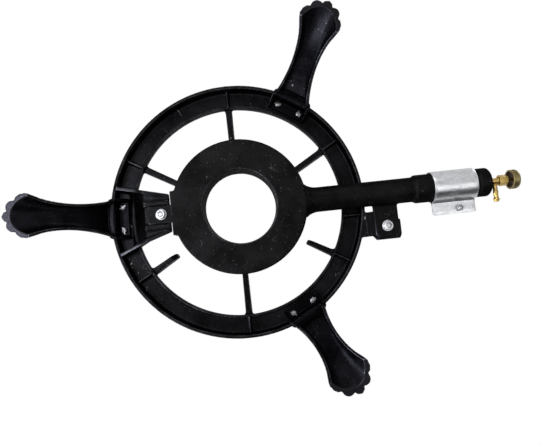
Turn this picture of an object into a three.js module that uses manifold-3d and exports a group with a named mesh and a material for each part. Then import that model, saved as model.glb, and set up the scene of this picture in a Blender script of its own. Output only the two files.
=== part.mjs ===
// Cast iron gas burner: a ring burner hung in a round trivet on three screwed legs, with an adjustable
// air shutter on its mixing tube and a brass needle valve at the end of the tube.
// Millimetres, +Z up, the three feet stand on z = 0, and the mixing tube runs along +X.
import * as THREE from 'three';
import { mergeVertices } from 'three/addons/utils/BufferGeometryUtils.js';
import Module from 'manifold-3d';

const wasm = await Module();
wasm.setup();

// Clearances and overruns
const seatGap = 0.3;
const cutOverrun = 2;
const jointOverlap = 1;

// Support ring: a channel open downward, with an outer skirt and a short inner lip
const ringRadius = 150;
const ringWidth = 26.7;
const ringHeight = 20;
const skirtWall = 4;
const plateThickness = 5;
const lipWall = 3.5;
const lipHeight = 13;
const lipDraft = 1.8;
const standHeight = 104;

// Six pan ribs that run in from the ring: four reach in over the head and two stop short of it
const longRibAngles = [-150, -90, -30, 90];
const shortRibAngles = [30, 150];
const ribRootWidth = 7.5;
const ribTipWidth = 6;
const ribFilletWidth = 12;
const ribFilletLength = 4;
const ribRise = 10;
const ribHangBelowPlate = 5;
const shortRibHeadGap = 16;
const longRibHeadReach = 25;
const ribTipChamfer = 6;
const webThickness = 2.4;
const webDrop = 9;

// Burner head: a hollow annulus with flame ports in its top
const headRadius = 75;
const headBand = 33.5;
const headHeight = 30;
const headDrop = 37.5;
const holeDraft = 1.2;
const headWall = 5;
const headEdgeRound = 2;
const burnerForward = 4;
const burnerSideways = -0.8;
const outerPortInset = 10;
const innerPortInset = 9.5;
const outerPortCount = 30;
const innerPortCount = 22;
const portRadius = 1.7;

// Mixing tube with its neck flare, the bell with its rim, the windowed cage and the end boss
const tubeDrop = 18;
const tubeRadius = 14.2;
const tubeWall = 3.7;
const neckFlare = 4.8;
const neckLength = 13;
const bellOutset = 18;
const bellStep = 2;
const bellWall = 3.4;
const bellTaper = 3;
const bellLength = 24;
const rimStandOut = 0.5;
const rimWidth = 4;
const cageLength = 51;
const windowMargin = 6.5;
const windowCount = 3;
const cageBarShare = 0.2;
const bossLength = 13;
const bossStandOut = 0.2;
const bossChamfer = 2.5;

// Lugs that carry the casting on the ring
const seatDrop = 11;
const lugThickness = 5.2;
const rearBossWidth = 49;
const rearBossStandOut = 0.5;
const rearLugWidth = 20.4;
const rearLugEndGap = 4.6;
const rearLugShift = -1.7;
const tubeLugOutset = 5;
const tubeLugLength = 28;
const tubeLugWidth = 35.6;
const tubeLugCorner = 3;
const tubeScrewInset = { x: 14.2, y: 12 };

// Screws that hold the casting (6 mm) and the legs (5 mm)
const lugScrew = { radius: 3, headRadius: 5.2, headHeight: 4.2, nutAcross: 10, nut: 5 };
const lugWasher = { radius: 6.3, thickness: 1.4 };
const legScrew = { radius: 2.5, headRadius: 4.25, headHeight: 3.3, nutAcross: 8, nut: 4 };
const screwEndLength = 1.5;
const driveSlotDepth = 1.4;
const driveSlotWidth = 1.2;

// The pan head's outline, as shares of its radius and of its height below its seat
const panHeadShares = [[0.6, 1], [0.9, 0.7], [1, 0.3], [1, 0]];

// Rear platform of the ring, cranked down to the rear lug between two walls; its sloping stretch is a
// share of the gap between the head and the ring
const platformSlopeShare = 0.4555;
const platformThickness = 5;
const platformHeadGap = 2.5;
const platformFlat = 5.7;
const platformRootHalf = 42;
const platformTipHalf = 22;
const platformTipMiddle = -4;
const platformRootMiddle = -1;
const platformWall = 4.2;
const guideRibWidth = 5.9;
const guideRibDrop = 4.6;

// Side tab of the ring, cranked down to the lug on the mixing tube
const tabThickness = 5;
const tabTubeGap = 5.1;
const tabCornerCut = 12.2;
const tabStepOutset = 7;
const tabStep = 5;
const tabMargin = 3.5;
const tabCorner = 5;
const tabSkirtLap = 1;
const tabSlope = 9;

// Legs: cast troughs that open inward and end in a scalloped paw
const legAngles = { rear: 180, left: 60, right: -60 };
const legTurn = 1.8;
const legPadLipGap = 4.2;
const legPadThickness = 4;
const legShelfThickness = 4;
const legHookWall = 3.1;
const legWall = 3;
const legRootHalfWidth = 22.6;
const legWaistHalfWidth = 14;
const legFootHalfWidth = 21.4;
const legEarStandOut = 1.4;
const legScrewEarGap = 10;
const legWaistShare = 0.43;
const legFootFlarePower = 2.3;
const legRootFlarePower = 1.75;
const legSplay = 51.7;
const legSweepPower = 1.15;
const legRootDepth = 10.5;
const legWaistDepth = 12;
const legFootDepth = 21.2;
const legFootWall = 3.9;
const legRootSquarePower = 4;
const legFootSquarePower = 2;
const toeCount = 5;
const toeHeight = 4.2;
const toeSideShare = 0.35;
const toeFullShare = 0.06;
const toeEndShare = 0.15;
const legLevelShares = [0, 0.03, 0.07, 0.11, 0.15, 0.24, 0.34, 0.46, 0.6, 0.74, 0.87, 1];

// Air shutter: a sheet sleeve around the cage, pinched by a clamp screw through two flanges
const shutterWall = 1;
const shutterLap = 3;
const shutterEndGap = 5;
const flangeWidth = 15.3;
const flangeGap = 1.8;
const flangeCorner = 3.5;
const clampScrew = { radius: 2, headRadius: 3.8, headHeight: 2.8, nutAcross: 7, nut: 3.2 };
const clampInset = { x: 30.2, y: 5.9 };

// Needle valve, screwed into the boss
const shankRadius = 5;
const shankLength = 23;
const bodyRadius = 3.3;
const bodyBore = 2.2;
const bodyLength = 12;
const glandThreadRadius = 4;
const glandThreadLength = 4.6;
const seatInset = 1;
const seatBore = 1;
const spindleRadius = 1.9;
const spindleStandOut = 0.1;
const stemRadius = 1.2;
const needleLength = 4;
const injectorAcross = 8;
const injectorLength = 7;
const injectorNoseLength = 4;
const injectorNoseRadius = 2.8;
const injectorBore = 0.6;
const barbOutset = 8;
const barbRadius = 2.3;
const barbBore = 1.3;
const barbReach = 23.8;
const barbBulgeRadius = 3.6;
const barbBulgeLength = 4;
const barbRidgeStarts = [11, 19];
const glandNutAcross = 11;
const glandNutLength = 10;
const packingLength = 3;

// Control knob: a brass cup with a knurled band, held by a small nut in its end
const knobRadius = 11.1;
const knobStandOff = 3.4;
const knobLength = 8.6;
const knobWall = 1.8;
const knobFloor = 1.1;
const knobRim = 1;
const knobCrown = 2.3;
const knurlCount = 36;
const knurlDepth = 0.5;
const knobNutRecessDepth = 2.6;
const knobNutAcross = 7;
const knobNutRoom = 0.95;

// Facets: how finely round shapes are cut
const ringSides = 72;
const headSides = 64;
const tubeSides = 32;
const smallSides = 16;
const portSides = 6;
const hexSides = 6;
const windowSteps = 8;
const legBackSteps = 30;
const legInsideSteps = 12;

// Heights that follow from the sizes above
const skirtBottom = standHeight;
const ringTop = skirtBottom + ringHeight;
const plateBottom = ringTop - plateThickness;
const seatPlane = skirtBottom - seatDrop;
const headBottom = skirtBottom - headDrop;
const headTop = headBottom + headHeight;
const tubeHeight = skirtBottom - tubeDrop;
const lugTop = seatPlane - seatGap;
const lugBottom = lugTop - lugThickness;
const shelfTop = skirtBottom - seatGap;
const shelfBottom = shelfTop - legShelfThickness;
const padTop = plateBottom - seatGap;
const padBottom = padTop - legPadThickness;

// Places out from the ring's axis that follow
const ringInnerRadius = ringRadius - ringWidth;
const shortRibInnerRadius = headRadius + shortRibHeadGap;
const longRibInnerRadius = headRadius - longRibHeadReach;
const platformEnd = headRadius + platformHeadGap;
const platformBend = { top: ringInnerRadius + platformFlat };
platformBend.bottom = platformBend.top - platformSlopeShare * (ringInnerRadius - headRadius);
const hookOuter = ringRadius - skirtWall - seatGap;
const legPadInner = ringInnerRadius + lipWall + legPadLipGap;
const legRootRadius = hookOuter - legHookWall;
const legFootRadius = legRootRadius + legSplay;
const legScrewCircle = legRootRadius - legScrew.headRadius - seatGap;
const legEarWidth = legRootHalfWidth + legEarStandOut;
const legScrewHalfSpan = legEarWidth - legScrewEarGap;

// Radii of the casting that follow, and places along X from the axis of its head
const holeRadiusBelow = headRadius - headBand;
const holeRadiusAbove = holeRadiusBelow - holeDraft;
const outerPortCircle = headRadius - outerPortInset;
const innerPortCircle = holeRadiusBelow + innerPortInset;
const rearBossReach = headRadius + rearBossStandOut;
const rearLugReach = platformBend.bottom + burnerForward - rearLugEndGap;
const rearScrewReach = (headRadius + rearLugReach) / 2;
const neckRadius = tubeRadius + neckFlare;
const neckEnd = headRadius + neckLength;
const tubeBore = tubeRadius - tubeWall;
const tubeLugStart = ringRadius + tubeLugOutset - burnerForward;
const tubeLugEnd = tubeLugStart + tubeLugLength;
const tubeLugReach = tubeRadius + tubeLugWidth;
const tubeScrewPlace = { x: tubeLugStart + tubeScrewInset.x, y: tubeLugReach - tubeScrewInset.y };
const bellRadius = tubeRadius + bellStep;
const bellBore = bellRadius - bellWall;
const bellStart = tubeLugEnd + bellOutset;
const rimRadius = bellRadius + rimStandOut;
const rimEnd = bellStart + bellLength;
const bossRadius = bellRadius + bossStandOut;
const bossStart = rimEnd + cageLength;
const bossEnd = bossStart + bossLength;

// The side tab's plan, about the ring's axis
const tabNear = { y: tubeRadius + burnerSideways + tabTubeGap };
const tabOuter = {
  start: ringRadius + tabStepOutset,
  end: tubeLugEnd + burnerForward + tabMargin,
  near: tabNear.y + tabCornerCut,
  far: tubeLugReach + burnerSideways + tabMargin,
};
tabNear.far = tabOuter.far - tabStep;
const tabBend = { top: ringRadius - tabSkirtLap };
tabBend.bottom = tabBend.top + tabSlope;

// Places of the shutter and the valve that follow, along X from the axis of the head
const shutterBore = rimRadius + seatGap;
const shutterStart = rimEnd - shutterLap;
const shutterEnd = bossStart - shutterEndGap;
const flangeReach = shutterBore + flangeWidth;
const clampPlace = { x: shutterStart + clampInset.x, y: flangeReach - clampInset.y };
const shankStart = bossEnd - shankLength;
const bodyEnd = bossEnd + bodyLength;
const seatPlace = bossEnd - seatInset;
const barbPlace = bossEnd + barbOutset;
const glandBore = spindleRadius + seatGap;
const glandNutStart = bodyEnd + seatGap;
const glandNutEnd = glandNutStart + glandNutLength;
const packingStart = bodyEnd + glandThreadLength + seatGap;
const packingEnd = packingStart + packingLength;
const knobStart = glandNutEnd + knobStandOff;
const knobEnd = knobStart + knobLength;
const knobCupRadius = knobRadius - knobWall;
const knobCupDepth = knobLength - knobNutRecessDepth - knobFloor;
const knurlStart = knobStart + knobRim;
const knurlEnd = knobEnd - knobCrown;
const spindleEnd = knobEnd + spindleStandOut;

const degrees = Math.PI / 180;

// Turns a closed three.js geometry into a solid for joining and cutting
function solid(geometry) {
  const bare = geometry.clone();
  bare.deleteAttribute('normal');
  bare.deleteAttribute('uv');
  const merged = mergeVertices(bare);
  const corners = [];
  const index = merged.index.array;
  for (let i = 0; i < index.length; i += 3) {
    const [a, b, c] = [index[i], index[i + 1], index[i + 2]];
    if (a !== b && b !== c && c !== a) {
      corners.push(a, b, c);
    }
  }
  return new wasm.Manifold(new wasm.Mesh({
    numProp: 3,
    vertProperties: new Float32Array(merged.attributes.position.array),
    triVerts: new Uint32Array(corners),
  }));
}

function joined(first, ...others) {
  return others.reduce((whole, other) => whole.add(other), first);
}

function cut(first, ...others) {
  return others.reduce((whole, other) => whole.subtract(other), first);
}

// Gives the closed outline that runs anticlockwise
function anticlockwise(points) {
  const list = points.map(([x, y]) => new THREE.Vector2(x, y));
  return THREE.ShapeUtils.area(list) < 0 ? list.reverse() : list;
}

// A body turned about Z from a closed outline of [radius, height] points
function turned(points, sides) {
  const outline = anticlockwise(points);
  const geometry = new THREE.LatheGeometry([...outline, outline[0]], sides);
  return solid(geometry.rotateX(Math.PI / 2));
}

// A body turned about X from a closed outline of [place along X, radius] points
function turnedAlongX(points, sides) {
  const outline = anticlockwise(points.map(([x, radius]) => [radius, x]));
  const geometry = new THREE.LatheGeometry([...outline, outline[0]], sides);
  return solid(geometry.rotateX(Math.PI / 2).rotateY(Math.PI / 2));
}

function rodAlongX(from, to, radius, sides = tubeSides) {
  const geometry = new THREE.CylinderGeometry(radius, radius, to - from, sides);
  return solid(geometry.rotateZ(-Math.PI / 2).translate((from + to) / 2, 0, 0));
}

function rodAlongZ(x, y, from, to, radius, sides = smallSides) {
  const geometry = new THREE.CylinderGeometry(radius, radius, to - from, sides);
  return solid(geometry.rotateX(Math.PI / 2).translate(x, y, (from + to) / 2));
}

function block(x, y, z) {
  const geometry = new THREE.BoxGeometry(x[1] - x[0], y[1] - y[0], z[1] - z[0]);
  return solid(geometry.translate((x[0] + x[1]) / 2, (y[0] + y[1]) / 2, (z[0] + z[1]) / 2));
}

// A plan outline of [x, y] points raised between two heights
function raised(points, from, to) {
  const shape = new THREE.Shape(anticlockwise(points));
  const geometry = new THREE.ExtrudeGeometry(shape, { depth: to - from, bevelEnabled: false });
  return solid(geometry.translate(0, 0, from));
}

// A side outline of [x, z] points drawn out across Y
function drawnAcross(points, from, to) {
  const shape = new THREE.Shape(anticlockwise(points));
  const geometry = new THREE.ExtrudeGeometry(shape, { depth: to - from, bevelEnabled: false });
  return solid(geometry.rotateX(Math.PI / 2).translate(0, to, 0));
}

function turnAboutZ(body, angle) {
  const mesh = body.getMesh();
  return solid(geometryOf(mesh).rotateZ(angle * degrees));
}

function moveBy(body, x, y, z) {
  return solid(geometryOf(body.getMesh()).translate(x, y, z));
}

function geometryOf(mesh) {
  const geometry = new THREE.BufferGeometry();
  geometry.setAttribute('position', new THREE.BufferAttribute(new Float32Array(mesh.vertProperties), 3));
  geometry.setIndex(new THREE.BufferAttribute(new Uint32Array(mesh.triVerts), 1));
  return geometry;
}

// A stack of closed loops with equal counts of points, skinned and capped at both ends
function lofted(loops) {
  const count = loops[0].length;
  const positions = loops.flat().flatMap((point) => [point.x, point.y, point.z]);
  const index = [];
  for (let level = 0; level + 1 < loops.length; level += 1) {
    for (let k = 0; k < count; k += 1) {
      const next = (k + 1) % count;
      const [a, b] = [level * count + k, level * count + next];
      const [c, d] = [a + count, b + count];
      index.push(a, b, d, a, d, c);
    }
  }
  const last = (loops.length - 1) * count;
  const capOf = (loop) => THREE.ShapeUtils.triangulateShape(loop.map((p) => new THREE.Vector2(p.x, p.y)), []);
  capOf(loops[0]).forEach(([a, b, c]) => index.push(a, c, b));
  capOf(loops[loops.length - 1]).forEach(([a, b, c]) => index.push(last + a, last + b, last + c));
  const geometry = new THREE.BufferGeometry();
  geometry.setAttribute('position', new THREE.Float32BufferAttribute(positions, 3));
  geometry.setIndex(index);
  return solid(geometry);
}

function hexCornerRadius(across) {
  return across / 2 / Math.cos(Math.PI / hexSides);
}

function hexagonAlongX(from, to, across) {
  const corner = hexCornerRadius(across);
  const geometry = new THREE.CylinderGeometry(corner, corner, to - from, hexSides);
  return solid(geometry.rotateZ(-Math.PI / 2).translate((from + to) / 2, 0, 0));
}

function hexagonAlongZ(x, y, from, to, across) {
  const corner = hexCornerRadius(across);
  const geometry = new THREE.CylinderGeometry(corner, corner, to - from, hexSides);
  return solid(geometry.rotateX(Math.PI / 2).translate(x, y, (from + to) / 2));
}

// Finishes
const castIron = new THREE.MeshStandardMaterial({ color: 0x17171a, roughness: 0.55, metalness: 0.2 });
const castIronLegs = new THREE.MeshStandardMaterial({ color: 0x1d1d20, roughness: 0.55, metalness: 0.2 });
const burnerIron = new THREE.MeshStandardMaterial({ color: 0x232326, roughness: 0.6, metalness: 0.2 });
const zinc = new THREE.MeshStandardMaterial({ color: 0xd8dadc, roughness: 0.3, metalness: 0.9 });
const sheetMetal = new THREE.MeshStandardMaterial({ color: 0xc9ccd0, roughness: 0.4, metalness: 0.85 });
const brass = new THREE.MeshStandardMaterial({ color: 0xc9a24a, roughness: 0.3, metalness: 0.95 });
const dullBrass = new THREE.MeshStandardMaterial({ color: 0x8c7c3c, roughness: 0.45, metalness: 0.9 });
const packingFibre = new THREE.MeshStandardMaterial({ color: 0x3a3530, roughness: 0.9, metalness: 0 });

function piece(name, body, material) {
  const mesh = new THREE.Mesh(geometryOf(body.getMesh()), material);
  mesh.geometry.computeVertexNormals();
  mesh.name = name;
  return mesh;
}

// Support ring

function channelRing() {
  return turned([
    [ringRadius - skirtWall, skirtBottom],
    [ringRadius, skirtBottom],
    [ringRadius, ringTop],
    [ringInnerRadius + lipDraft, ringTop],
    [ringInnerRadius, ringTop - lipHeight],
    [ringInnerRadius + lipWall, ringTop - lipHeight],
    [ringInnerRadius + lipWall, plateBottom],
    [ringRadius - skirtWall, plateBottom],
  ], ringSides);
}

// One pan rib on +X: tapered in plan, chamfered below its tip and sloped down to the ring's edge
function panRib(innerRadius) {
  const rootPlace = ringInnerRadius;
  const filletStart = rootPlace - ribFilletLength;
  const filletEnd = rootPlace + (lipWall + lipDraft) / 2;
  const outer = ringRadius - skirtWall / 2;
  const plan = raised([
    [innerRadius, -ribTipWidth / 2],
    [filletStart, -ribRootWidth / 2],
    [rootPlace, -ribFilletWidth / 2],
    [filletEnd, -ribFilletWidth / 2],
    [filletEnd, -ribRootWidth / 2],
    [outer, -ribRootWidth / 2],
    [outer, ribRootWidth / 2],
    [filletEnd, ribRootWidth / 2],
    [filletEnd, ribFilletWidth / 2],
    [rootPlace, ribFilletWidth / 2],
    [filletStart, ribRootWidth / 2],
    [innerRadius, ribTipWidth / 2],
  ], skirtBottom, ringTop + ribRise + cutOverrun);
  const ribBottom = plateBottom - ribHangBelowPlate;
  const ribTop = ringTop + ribRise;
  const side = drawnAcross([
    [innerRadius, ribBottom + ribTipChamfer],
    [innerRadius + ribTipChamfer, ribBottom],
    [ringInnerRadius + lipWall / 2, ribBottom],
    [ringInnerRadius + lipWall / 2, plateBottom + plateThickness / 2],
    [outer, plateBottom + plateThickness / 2],
    [outer, ringTop],
    [outer - ribRise, ribTop],
    [innerRadius, ribTop],
  ], -ribFilletWidth, ribFilletWidth);
  return plan.intersect(side);
}

function channelWeb() {
  const inner = ringInnerRadius + lipWall - jointOverlap;
  const outer = ringRadius - skirtWall + jointOverlap;
  const height = [plateBottom - webDrop, plateBottom + jointOverlap];
  return block([inner, outer], [-webThickness / 2, webThickness / 2], height);
}

// Rear platform on -X: it leaves the plate level, cranks down and ends flat over the rear lug
function rearPlatform() {
  const root = ringRadius - skirtWall / 2;
  const slopeAngle = Math.atan2(plateBottom - seatPlane, platformBend.top - platformBend.bottom);
  const bendLead = platformThickness * Math.tan(slopeAngle / 2);
  const planOf = (inset) => [
    [-root, platformRootMiddle - platformRootHalf + inset],
    [-platformEnd, platformTipMiddle - platformTipHalf + inset],
    [-platformEnd, platformTipMiddle + platformTipHalf - inset],
    [-root, platformRootMiddle + platformRootHalf - inset],
  ];
  const floorSide = drawnAcross([
    [-root, plateBottom],
    [-platformBend.top, plateBottom],
    [-platformBend.bottom, seatPlane],
    [-platformEnd, seatPlane],
    [-platformEnd, seatPlane + platformThickness],
    [-platformBend.bottom + bendLead, seatPlane + platformThickness],
    [-platformBend.top + bendLead, ringTop],
    [-root, ringTop],
  ], -root, root);
  const wallSide = drawnAcross([
    [-root, skirtBottom],
    [-platformBend.bottom, seatPlane - guideRibDrop / 2],
    [-platformEnd, seatPlane],
    [-platformEnd, seatPlane + platformThickness],
    [-platformBend.bottom + bendLead, seatPlane + platformThickness],
    [-platformBend.top + bendLead, ringTop],
    [-root, ringTop],
  ], -root, root);
  const outside = raised(planOf(0), seatPlane - headDrop, ringTop);
  const inside = raised(planOf(platformWall), seatPlane - headDrop - cutOverrun, ringTop + cutOverrun);
  const walls = cut(outside, inside).intersect(wallSide);
  const insideRing = rodAlongZ(0, 0, seatPlane - headDrop, ringTop + cutOverrun, root, ringSides);
  return joined(joined(outside.intersect(floorSide), walls).intersect(insideRing), ...guideRibs());
}

// Two ribs under the platform that keep the rear lug from turning
function guideRibs() {
  const lugHalf = rearLugWidth / 2 + seatGap;
  const lugMiddle = burnerSideways + rearLugShift;
  const along = [-platformBend.bottom, -platformEnd];
  const height = [seatPlane - guideRibDrop, seatPlane + jointOverlap];
  return [-1, 1].map((side) => {
    const near = lugMiddle + side * lugHalf;
    const far = near + side * guideRibWidth;
    return block(along, [Math.min(near, far), Math.max(near, far)], height);
  });
}

// Side tab next to the mixing tube: it leaves the skirt, slopes down and ends flat over the tube's lug
function sideTab() {
  const root = ringRadius - skirtWall / 2;
  const plan = raised([
    [Math.sqrt(root ** 2 - tabNear.y ** 2), tabNear.y],
    [tabOuter.start, tabNear.y],
    [tabOuter.end, tabOuter.near],
    [tabOuter.end, tabOuter.far - tabCorner],
    [tabOuter.end - tabCorner / 2, tabOuter.far],
    [tabOuter.start, tabOuter.far],
    [tabOuter.start - tabCorner / 2, tabNear.far],
    [Math.sqrt(root ** 2 - tabNear.far ** 2), tabNear.far],
  ], seatPlane - cutOverrun, ringTop);
  const inner = Math.sqrt(root ** 2 - tabNear.far ** 2) - jointOverlap;
  const side = drawnAcross([
    [inner, skirtBottom],
    [tabBend.top, skirtBottom],
    [tabBend.bottom - tabThickness / 2, seatPlane],
    [tabOuter.end + cutOverrun, seatPlane],
    [tabOuter.end + cutOverrun, seatPlane + tabThickness],
    [tabBend.bottom, seatPlane + tabThickness],
    [tabBend.top + tabThickness, skirtBottom + tabThickness],
    [inner, skirtBottom + tabThickness],
  ], 0, tabOuter.far + cutOverrun);
  const outsideSkirt = rodAlongZ(0, 0, skirtBottom - ringHeight, ringTop, root, ringSides);
  return cut(plan.intersect(side), outsideSkirt);
}

function legScrewPlaces(angle) {
  const turn = (angle + legTurn) * degrees;
  const outward = new THREE.Vector2(Math.cos(turn), Math.sin(turn));
  const across = new THREE.Vector2(-Math.sin(turn), Math.cos(turn));
  return [-1, 1].map((side) => outward.clone().multiplyScalar(legScrewCircle)
    .addScaledVector(across, side * legScrewHalfSpan));
}

const rearScrewPlace = new THREE.Vector2(burnerForward - rearScrewReach, burnerSideways + rearLugShift);
const tubeLugScrewPlace = new THREE.Vector2(
  burnerForward + tubeScrewPlace.x, burnerSideways + tubeScrewPlace.y);

function supportRing() {
  const longRibs = longRibAngles.map((angle) => turnAboutZ(panRib(longRibInnerRadius), angle));
  const shortRibs = shortRibAngles.map((angle) => turnAboutZ(panRib(shortRibInnerRadius), angle));
  const webs = [...longRibAngles, ...shortRibAngles].map((angle) => turnAboutZ(channelWeb(), angle));
  const legHoles = Object.values(legAngles).flatMap(legScrewPlaces).map((place) => rodAlongZ(
    place.x, place.y, plateBottom - cutOverrun, ringTop + cutOverrun, legScrew.radius + seatGap));
  const lugHoles = [rearScrewPlace, tubeLugScrewPlace].map((place) => rodAlongZ(place.x, place.y,
    seatPlane - cutOverrun, seatPlane + platformThickness + cutOverrun, lugScrew.radius + seatGap));
  const whole = joined(channelRing(), ...longRibs, ...shortRibs, ...webs, rearPlatform(), sideTab());
  return cut(whole, ...legHoles, ...lugHoles);
}

// Burner casting, drawn about the axis of its head

function burnerHead() {
  const body = turned([
    [holeRadiusBelow, headBottom],
    [headRadius - headEdgeRound, headBottom],
    [headRadius, headBottom + headEdgeRound],
    [headRadius, headTop - headEdgeRound],
    [headRadius - headEdgeRound, headTop],
    [holeRadiusAbove, headTop],
  ], headSides);
  const rearBoss = block([-rearBossReach, -holeRadiusBelow - headWall - jointOverlap],
    [-rearBossWidth / 2, rearBossWidth / 2], [headBottom, headTop]);
  return joined(body, rearBoss);
}

function headChamber() {
  return turned([
    [holeRadiusBelow + headWall, headBottom + headWall],
    [headRadius - headWall, headBottom + headWall],
    [headRadius - headWall, headTop - headWall],
    [holeRadiusBelow + headWall, headTop - headWall],
  ], headSides);
}

function portRow(count, circle) {
  return Array.from({ length: count }, (_, k) => {
    const angle = (k + 1 / 2) * 2 * Math.PI / count;
    return rodAlongZ(circle * Math.cos(angle), circle * Math.sin(angle),
      headTop - headWall - cutOverrun, headTop + cutOverrun, portRadius, portSides);
  });
}

function mixingTube() {
  const neckStart = headRadius - headWall;
  const bellEdge = bellStart + bellTaper;
  const outside = turnedAlongX([
    [neckStart, 0],
    [neckStart, neckRadius],
    [headRadius, neckRadius - headEdgeRound],
    [(headRadius + neckEnd) / 2, tubeRadius + headEdgeRound / 2],
    [neckEnd, tubeRadius],
    [bellStart, tubeRadius],
    [bellEdge, bellRadius],
    [rimEnd - rimWidth, bellRadius],
    [rimEnd - rimWidth, rimRadius],
    [rimEnd, rimRadius],
    [rimEnd, bellRadius],
    [bossStart, bellRadius],
    [bossStart + bossChamfer, bossRadius],
    [bossEnd - bossChamfer, bossRadius],
    [bossEnd, bossRadius - bossChamfer],
    [bossEnd, 0],
  ], tubeSides);
  return moveBy(outside, 0, 0, tubeHeight);
}

function tubeBores() {
  const mixing = rodAlongX(headRadius - headWall - cutOverrun, bellStart + cutOverrun, tubeBore);
  const bell = turnedAlongX([
    [bellStart, 0],
    [bellStart, tubeBore],
    [bellStart + bellTaper, bellBore],
    [bossStart, bellBore],
    [bossStart, 0],
  ], tubeSides);
  const thread = rodAlongX(bossStart - cutOverrun, bossEnd + cutOverrun, shankRadius + seatGap, smallSides);
  return moveBy(joined(mixing, bell, thread), 0, 0, tubeHeight);
}

// Air windows between the bars of the cage, hidden under the shutter when it is shut
function airWindows() {
  const from = rimEnd + windowMargin;
  const windowLength = cageLength - 2 * windowMargin;
  const pitch = 2 * Math.PI / windowCount;
  const half = pitch * (1 - cageBarShare) / 2;
  const reach = bellRadius + cutOverrun;
  const steps = Array.from({ length: windowSteps + 1 }, (_, k) => -half + 2 * half * k / windowSteps);
  return Array.from({ length: windowCount }, (_, k) => {
    const middle = k * pitch + Math.PI / 2;
    const outer = steps.map((step) => [reach * Math.cos(middle + step), reach * Math.sin(middle + step)]);
    const shape = new THREE.Shape(anticlockwise([...outer, [0, 0]]));
    const geometry = new THREE.ExtrudeGeometry(shape, { depth: windowLength, bevelEnabled: false });
    return solid(geometry.rotateX(Math.PI / 2).rotateZ(Math.PI / 2).translate(from, 0, tubeHeight));
  });
}

function castLugs() {
  const half = rearLugWidth / 2;
  const rear = block([-rearLugReach, -headRadius + headWall], [rearLugShift - half, rearLugShift + half],
    [lugBottom, lugTop]);
  const side = raised([
    [tubeLugStart, 0],
    [tubeLugEnd, 0],
    [tubeLugEnd, tubeLugReach - tubeLugCorner],
    [tubeLugEnd - tubeLugCorner, tubeLugReach],
    [tubeLugStart + tubeLugCorner, tubeLugReach],
    [tubeLugStart, tubeLugReach - tubeLugCorner],
  ], lugBottom, lugTop);
  return [rear, side];
}

function burnerCasting() {
  const hole = turned([
    [0, headBottom - cutOverrun],
    [holeRadiusBelow, headBottom - cutOverrun],
    [holeRadiusBelow, headBottom],
    [holeRadiusAbove, headTop],
    [holeRadiusAbove, headTop + cutOverrun],
    [0, headTop + cutOverrun],
  ], headSides);
  const screwPlaces = [[-rearScrewReach, rearLugShift], [tubeScrewPlace.x, tubeScrewPlace.y]];
  const screwHoles = screwPlaces.map(([x, y]) => rodAlongZ(
    x, y, lugBottom - cutOverrun, lugTop + cutOverrun, lugScrew.radius + seatGap));
  const body = joined(burnerHead(), mixingTube(), ...castLugs());
  const ports = [...portRow(outerPortCount, outerPortCircle), ...portRow(innerPortCount, innerPortCircle)];
  return cut(body, hole, headChamber(), tubeBores(), ...airWindows(), ...ports, ...screwHoles);
}

// Legs, drawn on +X about the ring's axis

// Half the leg's width at a share of its height above the floor
function legHalfWidth(share) {
  if (share < legWaistShare) {
    const flare = (1 - share / legWaistShare) ** legFootFlarePower;
    return legWaistHalfWidth + (legFootHalfWidth - legWaistHalfWidth) * flare;
  }
  const flare = ((share - legWaistShare) / (1 - legWaistShare)) ** legRootFlarePower;
  return legWaistHalfWidth + (legRootHalfWidth - legWaistHalfWidth) * flare;
}

// How far the leg's open edges stand from the ring's axis
function legEdgeRadius(share) {
  return legRootRadius + (legFootRadius - legRootRadius) * (1 - share) ** legSweepPower;
}

function legDepth(share) {
  if (share < legWaistShare) {
    const flare = (1 - share / legWaistShare) ** legFootFlarePower;
    return legWaistDepth + (legFootDepth - legWaistDepth) * flare;
  }
  return THREE.MathUtils.lerp(legWaistDepth, legRootDepth, (share - legWaistShare) / (1 - legWaistShare));
}

function legSquareness(share) {
  return THREE.MathUtils.lerp(legFootSquarePower, legRootSquarePower, share);
}

function toeFade(share) {
  return 1 - THREE.MathUtils.smoothstep(share, toeFullShare, toeEndShare);
}

// The outline of the leg's back from one open edge round to the other, drawn in by an inset
function legArc(share, inset, backInset, toes, steps) {
  const power = 2 / legSquareness(share);
  const half = legHalfWidth(share) - inset;
  const depth = legDepth(share) - backInset;
  const edge = legEdgeRadius(share);
  return Array.from({ length: steps + 1 }, (_, k) => {
    const angle = -Math.PI / 2 + Math.PI * k / steps;
    const along = Math.max(0, Math.cos(angle)) ** power;
    const across = Math.sign(angle) * Math.abs(Math.sin(angle)) ** power;
    const reach = THREE.MathUtils.lerp(toeSideShare, 1, Math.cos(angle));
    const toe = toes * reach * toeFade(share) * Math.abs(Math.cos(toeCount * angle));
    return [edge + along * depth + toe * Math.cos(angle), across * half + toe * Math.sin(angle)];
  });
}

function legShell() {
  const height = shelfTop;
  const outer = legLevelShares.map((share) => legArc(share, 0, 0, toeHeight, legBackSteps)
    .map(([x, y]) => new THREE.Vector3(x, y, share * height)));
  const cavityTop = shelfBottom / height;
  const cavityShares = legLevelShares.filter((share) => share < cavityTop).concat(cavityTop);
  const inner = cavityShares.map((share, level) => {
    const backWall = THREE.MathUtils.lerp(legFootWall, legWall, share);
    const arc = legArc(share, legWall, backWall, 0, legInsideSteps);
    const mouth = legEdgeRadius(share) - cutOverrun;
    const half = legHalfWidth(share) - legWall;
    const z = level === 0 ? -cutOverrun : share * height;
    return [[mouth, -half], ...arc, [mouth, half]].map(([x, y]) => new THREE.Vector3(x, y, z));
  });
  return cut(lofted(outer), lofted(inner));
}

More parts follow.
